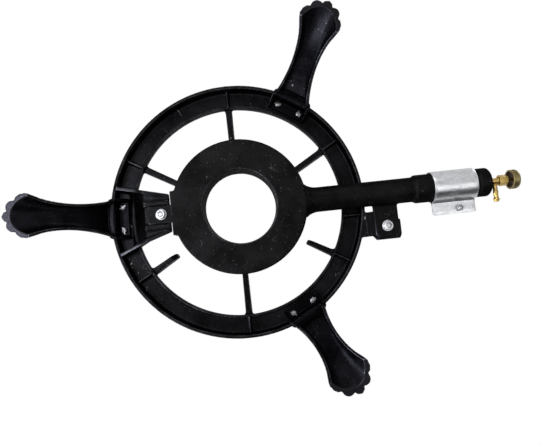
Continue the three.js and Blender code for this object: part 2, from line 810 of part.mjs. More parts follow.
// The leg's hook: a pad screwed up under the ring's plate, a wall inside the skirt and two ears
function legHook() {
  const pad = block([legPadInner, hookOuter], [-legEarWidth, legEarWidth], [padBottom, padTop]);
  const wall = block([legRootRadius, hookOuter], [-legEarWidth, legEarWidth], [shelfBottom, padTop]);
  const ears = [-1, 1].map((side) => {
    const near = side * (legEarWidth - legHookWall);
    const far = side * legEarWidth;
    return drawnAcross([
      [legPadInner, padTop],
      [legPadInner, padBottom - legPadThickness],
      [legRootRadius, shelfBottom],
      [hookOuter, shelfBottom],
      [hookOuter, padTop],
    ], Math.min(near, far), Math.max(near, far));
  });
  const insideSkirt = rodAlongZ(0, 0, shelfBottom - cutOverrun, ringTop, hookOuter, ringSides);
  return joined(pad, wall, ...ears).intersect(insideSkirt);
}

// The shelf under the skirt, as wide as the ears and as round as the leg's back
function legShelf() {
  const arc = legArc(1, 0, 0, 0, smallSides);
  const widened = arc.map(([x, y]) => [x, y * legEarWidth / legRootHalfWidth]);
  return raised(widened, shelfBottom, shelfTop);
}

function leg(angle) {
  const holes = [-1, 1].map((side) => rodAlongZ(legScrewCircle, side * legScrewHalfSpan,
    padBottom - cutOverrun, padTop + cutOverrun, legScrew.radius + seatGap));
  const body = cut(joined(legShell(), legShelf(), legHook()), ...holes);
  return turnAboutZ(body, angle + legTurn);
}

// Fasteners

// A slotted pan head screw that points up, with the underside of its head at a height
function panScrew(place, seat, length, size) {
  const { x, y } = place;
  const side = panHeadShares.map(([radius, depth]) => [
    size.headRadius * radius, seat - size.headHeight * depth]);
  const head = turned([[0, seat - size.headHeight], ...side, [0, seat]], smallSides);
  const shank = rodAlongZ(0, 0, seat - jointOverlap, seat + length, size.radius);
  const slot = block([-size.headRadius - cutOverrun, size.headRadius + cutOverrun],
    [-driveSlotWidth / 2, driveSlotWidth / 2],
    [seat - size.headHeight - cutOverrun, seat - size.headHeight + driveSlotDepth]);
  return moveBy(cut(joined(head, shank), slot), x, y, 0);
}

function hexNut(place, seat, size) {
  const { x, y } = place;
  const body = hexagonAlongZ(x, y, seat, seat + size.nut, size.nutAcross);
  return cut(body, rodAlongZ(x, y, seat - cutOverrun, seat + size.nut + cutOverrun, size.radius + seatGap));
}

function flatWasher(place, seat, size) {
  const { x, y } = place;
  const body = rodAlongZ(x, y, seat - lugWasher.thickness, seat, lugWasher.radius, tubeSides);
  const bottom = seat - lugWasher.thickness - cutOverrun;
  return cut(body, rodAlongZ(x, y, bottom, seat + cutOverrun, size.radius + seatGap));
}

function legFasteners(side, angle) {
  const places = legScrewPlaces(angle);
  const seat = padBottom - seatGap;
  const nutSeat = ringTop + seatGap;
  const length = nutSeat + legScrew.nut + screwEndLength - seat;
  return places.flatMap((place, k) => [
    piece(`leg_${side}_screw_${k + 1}`, panScrew(place, seat, length, legScrew), zinc),
    piece(`leg_${side}_nut_${k + 1}`, hexNut(place, nutSeat, legScrew), zinc),
  ]);
}

function lugFasteners(name, place) {
  const washerTop = lugBottom - seatGap;
  const seat = washerTop - lugWasher.thickness - seatGap;
  const nutSeat = seatPlane + platformThickness + seatGap;
  const length = nutSeat + lugScrew.nut + screwEndLength - seat;
  return [
    piece(`${name}_screw`, panScrew(place, seat, length, lugScrew), zinc),
    piece(`${name}_washer`, flatWasher(place, washerTop, lugScrew), zinc),
    piece(`${name}_nut`, hexNut(place, nutSeat, lugScrew), zinc),
  ];
}

// Air shutter with its clamp screw, drawn about the axis of the head

function airShutter() {
  const outerRadius = shutterBore + shutterWall;
  const half = flangeGap / 2;
  const sleeve = rodAlongX(shutterStart, shutterEnd, outerRadius);
  const flangeRoot = shutterBore - jointOverlap;
  const flanges = raised([
    [shutterStart, flangeRoot],
    [shutterEnd, flangeRoot],
    [shutterEnd, flangeReach],
    [shutterStart + flangeCorner, flangeReach],
    [shutterStart, flangeReach - flangeCorner],
  ], -half - shutterWall, half + shutterWall);
  const bore = rodAlongX(shutterStart - cutOverrun, shutterEnd + cutOverrun, shutterBore);
  const along = [shutterStart - cutOverrun, shutterEnd + cutOverrun];
  const gap = block(along, [0, flangeReach + cutOverrun], [-half, half]);
  const hole = rodAlongZ(clampPlace.x, clampPlace.y, -half - shutterWall - cutOverrun,
    half + shutterWall + cutOverrun, clampScrew.radius + seatGap);
  return moveBy(cut(joined(sleeve, flanges), bore, gap, hole), 0, 0, tubeHeight);
}

function clampFasteners() {
  const top = tubeHeight + flangeGap / 2 + shutterWall + seatGap;
  const bottom = tubeHeight - flangeGap / 2 - shutterWall - seatGap;
  const nutBottom = bottom - clampScrew.nut;
  const length = top - nutBottom + screwEndLength;
  const head = panScrew({ x: 0, y: 0 }, 0, length, clampScrew);
  const turnedOver = solid(geometryOf(head.getMesh()).rotateX(Math.PI));
  return [
    piece('air_shutter_screw', moveBy(turnedOver, clampPlace.x, clampPlace.y, top), zinc),
    piece('air_shutter_nut', hexNut(clampPlace, nutBottom, clampScrew), zinc),
  ];
}

// Needle valve, drawn about the axis of the tube and lifted into place

function valveBody() {
  const threadEnd = bodyEnd + glandThreadLength;
  const outside = turnedAlongX([
    [shankStart, 0],
    [shankStart, shankRadius],
    [bossEnd + seatGap, shankRadius],
    [bossEnd + seatGap, bodyRadius],
    [bodyEnd, bodyRadius],
    [bodyEnd, glandThreadRadius],
    [threadEnd, glandThreadRadius],
    [threadEnd, 0],
  ], smallSides);
  const chamber = rodAlongX(seatPlace, threadEnd + cutOverrun, bodyBore, smallSides);
  const throat = rodAlongX(shankStart - cutOverrun, seatPlace + cutOverrun, seatBore, smallSides);
  const inlet = solid(new THREE.CylinderGeometry(barbBore, barbBore, bodyRadius + cutOverrun, smallSides)
    .translate(barbPlace, (bodyRadius + cutOverrun) / 2, 0));
  return cut(outside, chamber, throat, inlet);
}

function injector() {
  const end = shankStart - seatGap;
  const hexStart = end - injectorLength;
  const hex = hexagonAlongX(hexStart, end, injectorAcross);
  const noseStart = hexStart - injectorNoseLength;
  const nose = rodAlongX(noseStart, hexStart + jointOverlap, injectorNoseRadius, smallSides);
  const bore = rodAlongX(noseStart - cutOverrun, end + cutOverrun, injectorBore, smallSides);
  return cut(joined(hex, nose), bore);
}

function hoseBarb() {
  const root = bodyRadius / 2;
  const outline = [
    [0, root],
    [barbRadius, root],
    ...barbRidgeStarts.flatMap((start) => [
      [barbRadius, start],
      [barbBulgeRadius, start + barbBulgeLength / 4],
      [barbBulgeRadius, start + barbBulgeLength / 2],
      [barbRadius, start + barbBulgeLength],
    ]),
    [barbRadius, barbReach],
    [0, barbReach],
  ];
  const profile = anticlockwise(outline);
  const stemGeometry = new THREE.LatheGeometry([...profile, profile[0]], smallSides);
  const stem = solid(stemGeometry.translate(barbPlace, 0, 0));
  const bore = solid(new THREE.CylinderGeometry(barbBore, barbBore, barbReach + cutOverrun, smallSides)
    .translate(barbPlace, (barbReach + cutOverrun) / 2, 0));
  const bodySaddle = rodAlongX(barbPlace - barbReach, barbPlace + barbReach, bodyRadius + seatGap);
  return cut(stem, bore, bodySaddle);
}

function glandNut() {
  const hex = hexagonAlongX(glandNutStart, glandNutEnd, glandNutAcross);
  const bore = rodAlongX(glandNutStart - cutOverrun, glandNutEnd + cutOverrun, glandBore, smallSides);
  const pocketRadius = glandThreadRadius + seatGap;
  const pocket = rodAlongX(glandNutStart - cutOverrun, packingEnd + seatGap, pocketRadius, smallSides);
  return cut(hex, bore, pocket);
}

function glandPacking() {
  const ring = rodAlongX(packingStart, packingEnd, glandThreadRadius, smallSides);
  return cut(ring, rodAlongX(packingStart - cutOverrun, packingEnd + cutOverrun, glandBore, smallSides));
}

function valveSpindle() {
  const tip = seatPlace + seatGap;
  return turnedAlongX([
    [tip, 0],
    [tip, seatBore / 2],
    [tip + needleLength, stemRadius],
    [bodyEnd, stemRadius],
    [bodyEnd, spindleRadius],
    [spindleEnd, spindleRadius],
    [spindleEnd, 0],
  ], smallSides);
}

function controlKnob() {
  const body = turnedAlongX([
    [knobStart, 0],
    [knobStart, knobRadius],
    [knurlStart, knobRadius],
    [knurlStart, knobRadius - knurlDepth],
    [knurlEnd, knobRadius - knurlDepth],
    [knobEnd, knobRadius - (knobEnd - knurlEnd)],
    [knobEnd, 0],
  ], knurlCount);
  const teeth = Array.from({ length: 2 * knurlCount }, (_, k) => {
    const radius = k % 2 === 0 ? knobRadius : knobRadius - knurlDepth;
    const angle = k * Math.PI / knurlCount;
    return new THREE.Vector2(radius * Math.cos(angle), radius * Math.sin(angle));
  });
  const bandGeometry = new THREE.ExtrudeGeometry(new THREE.Shape(teeth),
    { depth: knurlEnd - knurlStart, bevelEnabled: false });
  const band = solid(bandGeometry.rotateY(Math.PI / 2).translate(knurlStart, 0, 0));
  const cup = rodAlongX(knobStart - cutOverrun, knobStart + knobCupDepth, knobCupRadius);
  const bore = rodAlongX(knobStart, knobEnd + cutOverrun, spindleRadius + seatGap, smallSides);
  const recessStart = knobEnd - knobNutRecessDepth;
  const recessRadius = hexCornerRadius(knobNutAcross) + knobNutRoom;
  const recess = rodAlongX(recessStart, knobEnd + cutOverrun, recessRadius, smallSides);
  return cut(joined(body, band), cup, bore, recess);
}

function knobNut() {
  const start = knobEnd - knobNutRecessDepth + seatGap;
  const end = knobEnd - seatGap;
  const body = hexagonAlongX(start, end, knobNutAcross);
  const bore = rodAlongX(start - cutOverrun, end + cutOverrun, spindleRadius + seatGap, smallSides);
  return cut(body, bore);
}

// Assembly

const onRing = new THREE.Group();
onRing.add(piece('support_ring', supportRing(), castIron));
for (const [side, angle] of Object.entries(legAngles)) {
  onRing.add(piece(`leg_${side}`, leg(angle), castIronLegs), ...legFasteners(side, angle));
}
onRing.add(...lugFasteners('rear_lug', rearScrewPlace));
onRing.add(...lugFasteners('tube_lug', tubeLugScrewPlace));

const onBurner = new THREE.Group();
onBurner.position.set(burnerForward, burnerSideways, 0);
onBurner.add(piece('burner_casting', burnerCasting(), burnerIron));
onBurner.add(piece('air_shutter', airShutter(), sheetMetal), ...clampFasteners());

const onTube = new THREE.Group();
onTube.position.set(0, 0, tubeHeight);
onTube.add(
  piece('valve_body', valveBody(), brass),
  piece('injector', injector(), brass),
  piece('hose_barb', hoseBarb(), brass),
  piece('gland_nut', glandNut(), brass),
  piece('gland_packing', glandPacking(), packingFibre),
  piece('valve_spindle', valveSpindle(), brass),
  piece('control_knob', controlKnob(), dullBrass),
  piece('knob_nut', knobNut(), zinc),
);
onBurner.add(onTube);

// The part's origin is under the middle of its box, on the floor
const whole = new THREE.Group();
whole.add(onRing, onBurner);
const box = new THREE.Box3().setFromObject(whole, true);
const middle = box.getCenter(new THREE.Vector3());
whole.position.set(-middle.x, -middle.y, -box.min.z);

const group = new THREE.Group();
group.add(whole);

export default group;
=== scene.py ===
# Cast iron gas burner: the finished look of every piece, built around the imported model.
# Metres, +Z up, the three feet stand on z = 0, and the mixing tube runs along +X.
import math
from types import SimpleNamespace

import bmesh
import bpy
from bpy.props import FloatProperty, FloatVectorProperty, IntProperty, PointerProperty
from mathutils import Matrix, Vector


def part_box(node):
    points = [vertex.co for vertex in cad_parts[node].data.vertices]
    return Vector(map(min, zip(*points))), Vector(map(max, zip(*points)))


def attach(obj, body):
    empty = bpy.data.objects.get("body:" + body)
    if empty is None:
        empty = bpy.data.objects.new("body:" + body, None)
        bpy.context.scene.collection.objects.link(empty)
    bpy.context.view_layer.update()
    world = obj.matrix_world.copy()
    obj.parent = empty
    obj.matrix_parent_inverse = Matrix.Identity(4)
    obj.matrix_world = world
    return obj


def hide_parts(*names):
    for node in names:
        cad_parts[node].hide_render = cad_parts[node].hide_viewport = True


bl_info = {
    "name": "Cast Iron Gas Burner",
    "version": (1, 0, 0),
    "blender": (4, 5, 0),
    "location": "View3D > Sidebar > Gas Burner",
    "description": "Models the castings, fasteners, valve and knob of a ring gas burner",
    "category": "Object",
}

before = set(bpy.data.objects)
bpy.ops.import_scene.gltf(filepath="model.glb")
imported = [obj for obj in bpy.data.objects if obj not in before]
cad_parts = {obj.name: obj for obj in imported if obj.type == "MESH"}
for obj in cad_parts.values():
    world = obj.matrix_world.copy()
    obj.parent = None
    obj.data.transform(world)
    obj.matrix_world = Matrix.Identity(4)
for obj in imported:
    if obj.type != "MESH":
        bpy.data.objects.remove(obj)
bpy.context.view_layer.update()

MM = 0.001
TURN = 2 * math.pi
PLUS_X = Matrix.Rotation(math.pi / 2, 4, "Y")
PLUS_Y = Matrix.Rotation(-math.pi / 2, 4, "X")
UPRIGHT = Matrix.Identity(4)


def length(name, description, millimetres):
    """A size in millimetres, kept in metres"""
    return FloatProperty(name=name, description=description, default=millimetres * MM,
                         unit="LENGTH", precision=5)


def colour(name, description, rgb):
    """A colour, in linear values"""
    return FloatVectorProperty(name=name, description=description, default=rgb, size=3,
                               subtype="COLOR", min=0, max=1)


def factor(name, description, value):
    """A share from 0 to 1"""
    return FloatProperty(name=name, description=description, default=value, min=0, max=1,
                         subtype="FACTOR")


def angle(name, description, radians):
    """An angle in radians"""
    return FloatProperty(name=name, description=description, default=radians, subtype="ANGLE")


def count(name, description, value):
    """A number of like features"""
    return IntProperty(name=name, description=description, default=value, min=1)


class RingSizes(bpy.types.PropertyGroup):
    """Sizes of the support ring, its pan ribs, its rear platform and its side tab"""
    radius: length("Radius", "Outer radius of the ring", 150)
    width: length("Width", "From the skirt's outside to the inner lip", 26.7)
    height: length("Height", "Height of the skirt", 20)
    skirt_wall: length("Skirt wall", "Thickness of the skirt", 4)
    plate: length("Plate", "Thickness of the level plate", 5)
    lip_wall: length("Lip wall", "Thickness of the inner lip", 3.5)
    lip_height: length("Lip height", "Height of the inner lip", 13)
    lip_draft: length("Lip draft", "Lean of the inner lip", 1.8)
    rib_rise: length("Rib rise", "How far the ribs stand over the ring", 10)
    rib_root_width: length("Rib root width", "Width of a rib at the ring", 7.5)
    rib_tip_width: length("Rib tip width", "Width of a rib at its tip", 6)
    rib_flare_width: length("Rib flare width", "Width of the flare where a rib meets the lip", 11)
    rib_flare_length: length("Rib flare length", "Length of that flare", 3.6)
    rib_hang: length("Rib hang", "How far a rib hangs below the plate", 5)
    rib_tip_chamfer: length("Rib tip chamfer", "Slope below the tip of a rib", 6)
    short_rib_gap: length("Short rib gap", "From the head to the tip of a short rib", 16)
    long_rib_reach: length("Long rib reach", "How far a long rib reaches in over the head", 25)
    web: length("Web", "Thickness of the webs across the channel", 2.4)
    web_drop: length("Web drop", "How far the webs hang below the plate", 9)
    platform_thickness: length("Platform thickness", "Floor of the rear platform", 5)
    platform_gap: length("Platform gap", "From the head to the platform's end", 2.5)
    platform_flat: length("Platform flat", "Level stretch of the platform at the lip", 5.7)
    platform_slope: length("Platform slope", "Length of the platform's slope", 22)
    platform_root_half: length("Platform root", "Half the platform's width at the skirt", 42)
    platform_tip_half: length("Platform tip", "Half the platform's width at its end", 22)
    platform_tip_shift: length("Platform tip shift", "Sideways shift of the platform's end", -4)
    platform_root_shift: length("Platform root shift", "Sideways shift of its root", -1)
    platform_wall: length("Platform wall", "Thickness of the platform's side walls", 4.2)
    guide_width: length("Guide width", "Width of the two guide ribs beside the rear lug", 5.9)
    guide_drop: length("Guide drop", "How far the guide ribs hang below the platform", 4.6)
    tab_thickness: length("Tab thickness", "Thickness of the side tab", 5)
    tab_tube_gap: length("Tab gap", "From the mixing tube to the side tab", 5.1)
    tab_corner_cut: length("Tab corner cut", "Cut corner of the tab by the tube", 12.2)
    tab_step_outset: length("Tab step outset", "From the ring to the tab's step", 7)
    tab_step: length("Tab step", "Step in the tab's far edge", 5)
    tab_margin: length("Tab margin", "How far the tab stands past the lug", 3.5)
    tab_corner: length("Tab corner", "Cut corner at the tab's far end", 5)
    tab_slope: length("Tab slope", "Length of the tab's slope", 9)
    tab_lap: length("Tab lap", "Lap of the tab's slope on the skirt", 1)


class BurnerSizes(bpy.types.PropertyGroup):
    """Sizes of the burner casting: head, mixing tube, bell, cage, boss and lugs"""
    forward: length("Forward", "From the ring's axis to the head's along the tube", 4)
    head_radius: length("Head radius", "Outer radius of the head", 75)
    head_band: length("Head band", "Width of the head's band below", 33.5)
    head_height: length("Head height", "Height of the head", 30)
    head_drop: length("Head drop", "From the skirt's lower edge to the head's underside", 37.5)
    hole_draft: length("Hole draft", "How much the head's hole narrows upward", 1.2)
    head_wall: length("Head wall", "Thickness of the head's walls", 5)
    outer_port_inset: length("Outer port inset", "From the head's edge to the outer ports", 10)
    inner_port_inset: length("Inner port inset", "From the hole to the inner ports", 9.5)
    outer_ports: count("Outer ports", "Ports in the outer row", 30)
    inner_ports: count("Inner ports", "Ports in the inner row", 22)
    port_radius: length("Port radius", "Radius of a flame port", 1.7)
    tube_drop: length("Tube drop", "From the skirt's lower edge to the tube's axis", 18)
    tube_radius: length("Tube radius", "Outer radius of the mixing tube", 14.2)
    tube_wall: length("Tube wall", "Wall of the mixing tube", 3.7)
    neck_flare: length("Neck flare", "How much the neck widens at the head", 4.8)
    neck_length: length("Neck length", "Length of the neck's flare", 13)
    bell_outset: length("Bell outset", "From the side lug to the bell", 18)
    bell_step: length("Bell step", "Step from the tube up to the bell", 2)
    bell_wall: length("Bell wall", "Wall of the bell", 3.4)
    bell_taper: length("Bell taper", "Length of the step's slope", 3)
    bell_length: length("Bell length", "Length of the bell", 24)
    rim_rise: length("Rim rise", "How far the bell's rim stands out", 0.5)
    rim_width: length("Rim width", "Width of the bell's rim", 4)
    cage_length: length("Cage length", "Length of the windowed cage", 51)
    window_margin: length("Window margin", "From the windows to the cage's ends", 6.5)
    windows: count("Windows", "Air windows round the cage", 3)
    bar_share: factor("Bar share", "Share of the cage's round taken by its bars", 0.2)
    boss_length: length("Boss length", "Length of the boss", 13)
    boss_rise: length("Boss rise", "How far the boss stands out past the cage", 0.2)
    boss_chamfer: length("Boss chamfer", "Chamfer of the boss's edges", 2.5)
    head_edge: length("Head edge", "Chamfer of the head's outer edges", 1.6)
    core_radius: length("Core radius", "Radius at which the windows' cores meet", 4)
    groove_width: length("Groove width", "Width of the groove between cage and boss", 4.2)
    groove_depth: length("Groove depth", "Depth of that groove", 1)
    seat_drop: length("Seat drop", "From the skirt's lower edge to the lugs' seats", 11)
    lug_thickness: length("Lug thickness", "Thickness of the lugs", 5.2)
    rear_boss_width: length("Rear boss width", "Width of the flat at the head's rear", 49)
    rear_boss_rise: length("Rear boss rise", "How far that flat stands out", 0.5)
    rear_lug_width: length("Rear lug width", "Width of the rear lug", 20.4)
    rear_lug_gap: length("Rear lug gap", "From the rear lug's end to the slope", 4.6)
    rear_lug_shift: length("Rear lug shift", "Sideways shift of the rear lug", -1.7)
    side_lug_outset: length("Side lug outset", "From the ring to the side lug", 5)
    side_lug_length: length("Side lug length", "Length of the side lug along the tube", 28)
    side_lug_width: length("Side lug width", "How far the side lug stands out", 35.6)
    side_lug_corner: length("Side lug corner", "Cut corners of the side lug", 3)
    side_screw_inset: length("Side screw inset", "From the lug's start to its screw", 14.2)
    side_screw_edge: length("Side screw edge", "From the lug's end to its screw", 12)


class LegSizes(bpy.types.PropertyGroup):
    """Sizes of a leg"""
    turn: angle("Turn", "Turn of the legs about the ring's axis", math.radians(1.8))
    pad_lip_gap: length("Pad lip gap", "From the ring's lip to the leg's pad", 4.2)
    pad: length("Pad", "Thickness of the pad and of the shelf", 4)
    hook_wall: length("Hook wall", "Thickness of the hook's wall and ears", 3.1)
    wall: length("Wall", "Wall of the trough", 3)
    foot_wall: length("Foot wall", "Wall of the trough at the foot", 3.9)
    root_half: length("Root half width", "Half the leg's width under the ring", 22.6)
    waist_half: length("Waist half width", "Half the leg's width at its waist", 14)
    foot_half: length("Foot half width", "Half the leg's width at the foot", 21.4)
    ear_rise: length("Ear rise", "How far the ears stand out past the leg", 1.4)
    screw_ear_gap: length("Screw ear gap", "From an ear's outside to the screw's axis", 10)
    splay: length("Splay", "How far the foot stands out past the root", 51.7)
    root_depth: length("Root depth", "Depth of the trough under the ring", 10.5)
    waist_depth: length("Waist depth", "Depth of the trough at its waist", 12)
    foot_depth: length("Foot depth", "Depth of the trough at the foot", 21.2)
    cross_wall_depth: length("Cross wall depth", "From the skirt's outside to its inside", 5.6)
    cross_wall_inset: length("Cross wall inset", "How far it stays inside the skirt", 0.1)
    cross_wall_drop: length("Cross wall drop", "How far it hangs below the shelf", 1.3)
    toe_height: length("Toe height", "How far the toes stand out", 4.2)
    toes: count("Toes", "Scallops across the foot", 5)


class FastenerSizes(bpy.types.PropertyGroup):
    """Sizes of the screws, nuts and washers"""
    leg_shank: length("Leg screw", "Radius of a leg screw's shank", 2.5)
    leg_head: length("Leg screw head", "Radius of a leg screw's head", 4.25)
    leg_head_height: length("Leg head height", "Height of a leg screw's head", 3.3)
    leg_nut: length("Leg nut", "Width across the flats of a leg nut", 8)
    leg_nut_height: length("Leg nut height", "Height of a leg nut", 4)
    lug_shank: length("Lug screw", "Radius of a lug screw's shank", 3)
    lug_head: length("Lug screw head", "Radius of a lug screw's head", 5.2)
    lug_head_height: length("Lug head height", "Height of a lug screw's head", 4.2)
    lug_nut: length("Lug nut", "Width across the flats of a lug nut", 10)
    lug_nut_height: length("Lug nut height", "Height of a lug nut", 5)
    washer: length("Washer", "Radius of a washer", 6.3)
    washer_thickness: length("Washer thickness", "Thickness of a washer", 1.4)
    clamp_shank: length("Clamp screw", "Radius of the clamp screw's shank", 2)
    clamp_head: length("Clamp screw head", "Radius of the clamp screw's head", 3.8)
    clamp_head_height: length("Clamp head height", "Height of the clamp screw's head", 2.8)
    clamp_nut: length("Clamp nut", "Width across the flats of the clamp nut", 7)
    clamp_nut_height: length("Clamp nut height", "Height of the clamp nut", 3.2)
    slot_depth: length("Slot depth", "Depth of a driving slot", 1.7)
    slot_width: length("Slot width", "Width of a driving slot", 1.5)
    socket: length("Socket", "Width across the flats of a lug screw's socket", 6.2)
    socket_depth: length("Socket depth", "Depth of a lug screw's socket", 1.9)
    socket_head_edge: length("Socket head edge", "Rounded edge of a lug screw's head", 0.9)
    end_length: length("End length", "How far a screw stands out past its nut", 1.5)
    thread_pitch: length("Thread pitch", "Pitch of the threads", 0.8)
    thread_depth: length("Thread depth", "Depth of the threads", 0.32)
    nut_bevel: length("Nut bevel", "Chamfer of a nut's bore", 0.35)
    edge: length("Edge", "Rounding of a nut's edges", 0.12)
    washer_edge: length("Washer edge", "Rounding of a washer's edges", 0.3)
    head_seat: length("Head seat", "Height of the chamfer under a head", 0.1)
    head_chamfer: length("Head chamfer", "Width of the chamfer under a head", 0.15)
    thread_run_out: length("Thread run-out", "Plain end of the shank", 0.5)
    end_chamfer: length("End chamfer", "Chamfer of the shank's end", 0.9)
    socket_rim: length("Socket rim", "Width of the slope round the socket's floor", 1.2)
    socket_fall: length("Socket fall", "Height of that slope", 0.3)


class ShutterSizes(bpy.types.PropertyGroup):
    """Sizes of the air shutter's sheet sleeve"""
    wall: length("Wall", "Thickness of the sheet", 1)
    lap: length("Lap", "Lap of the sleeve on the bell's rim", 3)
    end_gap: length("End gap", "From the sleeve to the boss", 5)
    flange: length("Flange", "Width of the two flanges", 15.3)
    flange_gap: length("Flange gap", "Gap between the flanges", 1.8)
    flange_corner: length("Flange corner", "Rounded corner of the flanges", 3.5)
    end_corner: length("End corner", "Rounded corner of the flanges at the boss", 1.2)
    edge: length("Edge", "Rounding of the sheet's edges", 0.18)
    bend: length("Bend", "Radius of the bend into a flange", 1.6)
    clamp_inset: length("Clamp inset", "From the sleeve's start to its screw", 30.2)
    clamp_edge: length("Clamp edge", "From the flange's edge to its screw", 5.9)


class ValveSizes(bpy.types.PropertyGroup):
    """Sizes of the needle valve, its hose barb and its gland nut"""
    shank: length("Shank", "Radius of the shank in the boss", 5)
    shank_length: length("Shank length", "Length of that shank", 23)
    body: length("Body", "Radius of the body", 3.3)
    bore: length("Bore", "Radius of the body's bore", 2.2)
    body_length: length("Body length", "Length of the body past the boss", 12)
    gland_thread: length("Gland thread", "Radius of the gland's thread", 4)
    gland_thread_length: length("Gland thread length", "Length of the gland's thread", 4.6)
    barb_outset: length("Barb outset", "From the boss to the hose barb", 8)
    barb: length("Barb", "Radius of the barb's stem", 2.6)
    barb_bore: length("Barb bore", "Radius of the barb's bore", 1.3)
    barb_reach: length("Barb reach", "Reach of the barb from the valve's axis", 23.8)
    bulge: length("Bulge", "Radius of the barb's ridges", 3.6)
    bulge_length: length("Bulge length", "Length of a ridge", 4)
    first_bulge: length("First ridge", "Start of the ridge near the body", 11)
    last_bulge: length("Last ridge", "Start of the ridge near the end", 19)
    gland_nut: length("Gland nut", "Width across the flats of the gland nut", 11)
    gland_nut_length: length("Gland nut length", "Length of the gland nut", 10)
    spindle: length("Spindle", "Radius of the spindle", 1.9)
    throat: length("Throat", "Radius of the seat's bore", 1)
    seat_inset: length("Seat inset", "From the boss's end in to the seat", 1)
    collar_rise: length("Collar rise", "How far the collar at the boss stands out", 0.9)
    collar_end: length("Collar end", "From the boss to the collar's chamfer", 1.6)
    collar_chamfer: length("Collar chamfer", "Length of that chamfer", 0.5)
    ring_rise: length("Ring rise", "How far the body's end ring stands out", 0.7)
    ring_width: length("Ring width", "Width of that ring", 0.7)
    ring_chamfer: length("Ring chamfer", "Length of that ring's chamfer", 0.4)
    foot_rise: length("Foot rise", "How far the barb's foot stands out", 0.9)
    foot_waist: length("Foot waist", "How far the foot's middle stands out", 0.5)
    foot_sink: length("Foot sink", "How far the foot sinks toward the body", 0.2)
    foot_length: length("Foot length", "Length of the foot's slope", 1.6)
    barb_chamfer: length("Barb chamfer", "Chamfer of the barb's end", 0.4)
    packing_room: length("Packing room", "Room for the packing in the gland nut", 3)
    body_edge: length("Body edge", "Rounding of the body's edges", 0.15)
    barb_edge: length("Barb edge", "Rounding of the barb's edges", 0.12)


class KnobSizes(bpy.types.PropertyGroup):
    """Sizes of the control knob and its nut"""
    radius: length("Radius", "Outer radius of the knob", 11.1)
    stand_off: length("Stand-off", "From the gland nut to the knob", 3.4)
    length: length("Length", "Length of the knob", 8.6)
    wall: length("Wall", "Wall of the cup", 1.8)
    rim: length("Rim", "Width of the plain rim", 1)
    crown: length("Crown", "Length of the rounded crown", 2.3)
    knurls: count("Knurls", "Ridges round the knob", 64)
    knurl_depth: length("Knurl depth", "Depth of the knurls", 0.4)
    recess: length("Recess", "Depth of the recess for the nut", 2.6)
    nut: length("Nut", "Width across the flats of the nut", 7)
    nut_room: length("Nut room", "Room round the nut's corners", 0.95)
    floor: length("Floor", "Floor between the cup and the recess", 1.1)
    cup_corner: length("Cup corner", "Chamfer in the bottom of the cup", 0.8)
    lip_edge: length("Lip edge", "Chamfer of the rim's outer edge", 0.25)
    knurl_gap: length("Knurl gap", "From the plain rim to the knurls", 0.15)


class FinishColours(bpy.types.PropertyGroup):
    """Colours of the finishes"""
    ring_iron: colour("Ring iron", "Enamel on the support ring", (0.0042, 0.0042, 0.0047))
    leg_iron: colour("Leg iron", "Enamel on the legs", (0.0062, 0.0062, 0.0078))
    burner_iron: colour("Burner iron", "Coating of the burner casting", (0.0047, 0.0047, 0.0049))
    worn_iron: colour("Worn iron", "Edges where the coating is thin", (0.16, 0.16, 0.18))
    worn_leg: colour("Worn leg", "Rims of the legs, rubbed and polished", (0.21, 0.21, 0.235))
    scuff: colour("Scuff", "Pale scuffs from handling", (0.3, 0.3, 0.31))
    zinc: colour("Zinc", "Zinc plate", (0.33, 0.335, 0.35))
    # A brighter copy of the zinc plate for the tube lug's screw set: painted light
    fresh_zinc: colour("Fresh zinc", "Zinc plate of the tube lug's screw", (0.5, 0.505, 0.52))
    # A darker copy of the zinc plate for the leg screws in the ring's channel: painted shade
    dull_zinc: colour("Dull zinc", "Greyed zinc plate of the leg screws", (0.17, 0.172, 0.18))
    sheet: colour("Sheet", "Bright sheet of the shutter", (0.5, 0.505, 0.52))
    brass: colour("Brass", "Turned brass", (0.38, 0.265, 0.085))
    tarnish: colour("Tarnish", "Brown tarnish on brass", (0.10, 0.055, 0.02))
    knob_brass: colour("Knob brass", "Dull brass of the knob", (0.19, 0.158, 0.072))
    # Near black for the inside of the knob's cup: painted shade of the hollow
    knob_inside: colour("Knob inside", "Dark inside of the knob's cup", (0.02, 0.012, 0.008))
    rust: colour("Rust", "Rust in the knob's cup", (0.09, 0.05, 0.025))
    packing: colour("Packing", "Graphited packing", (0.03, 0.028, 0.026))
    floor: colour("Floor", "Pale floor", (0.86, 0.86, 0.86))


class StageSettings(bpy.types.PropertyGroup):
    """Camera, floor and lights"""
    camera_forward: length("Camera forward", "From the ring's axis along the tube", 27.5)
    camera_sideways: length("Camera sideways", "From the ring's axis across the tube", 51.9)
    camera_drop: length("Camera drop", "From the skirt's lower edge down to the camera", 552.4)
    camera_pitch: angle("Camera pitch", "Turn about X", -0.061)
    camera_yaw: angle("Camera yaw", "Turn about Y", -0.012)
    camera_roll: angle("Camera roll", "Turn about Z", -0.105)
    lens: FloatProperty(name="Lens", description="Focal length in millimetres", default=31.33)
    floor_radius: length("Floor radius", "Radius of the floor", 3000)
    floor_gap: length("Floor gap", "From the feet down to the floor", 0.5)
    floor_near: length("Floor near", "Radius where the floor starts to fade to white", 450)
    floor_far: length("Floor far", "Radius where the floor is white", 1200)
    world_level: factor("World level", "Light from all round", 0.4)


class GasBurnerSettings(bpy.types.PropertyGroup):
    """All the sizes and colours of the burner"""
    ring: PointerProperty(type=RingSizes)
    burner: PointerProperty(type=BurnerSizes)
    leg: PointerProperty(type=LegSizes)
    fasteners: PointerProperty(type=FastenerSizes)
    shutter: PointerProperty(type=ShutterSizes)
    valve: PointerProperty(type=ValveSizes)
    knob: PointerProperty(type=KnobSizes)
    finish: PointerProperty(type=FinishColours)
    stage: PointerProperty(type=StageSettings)


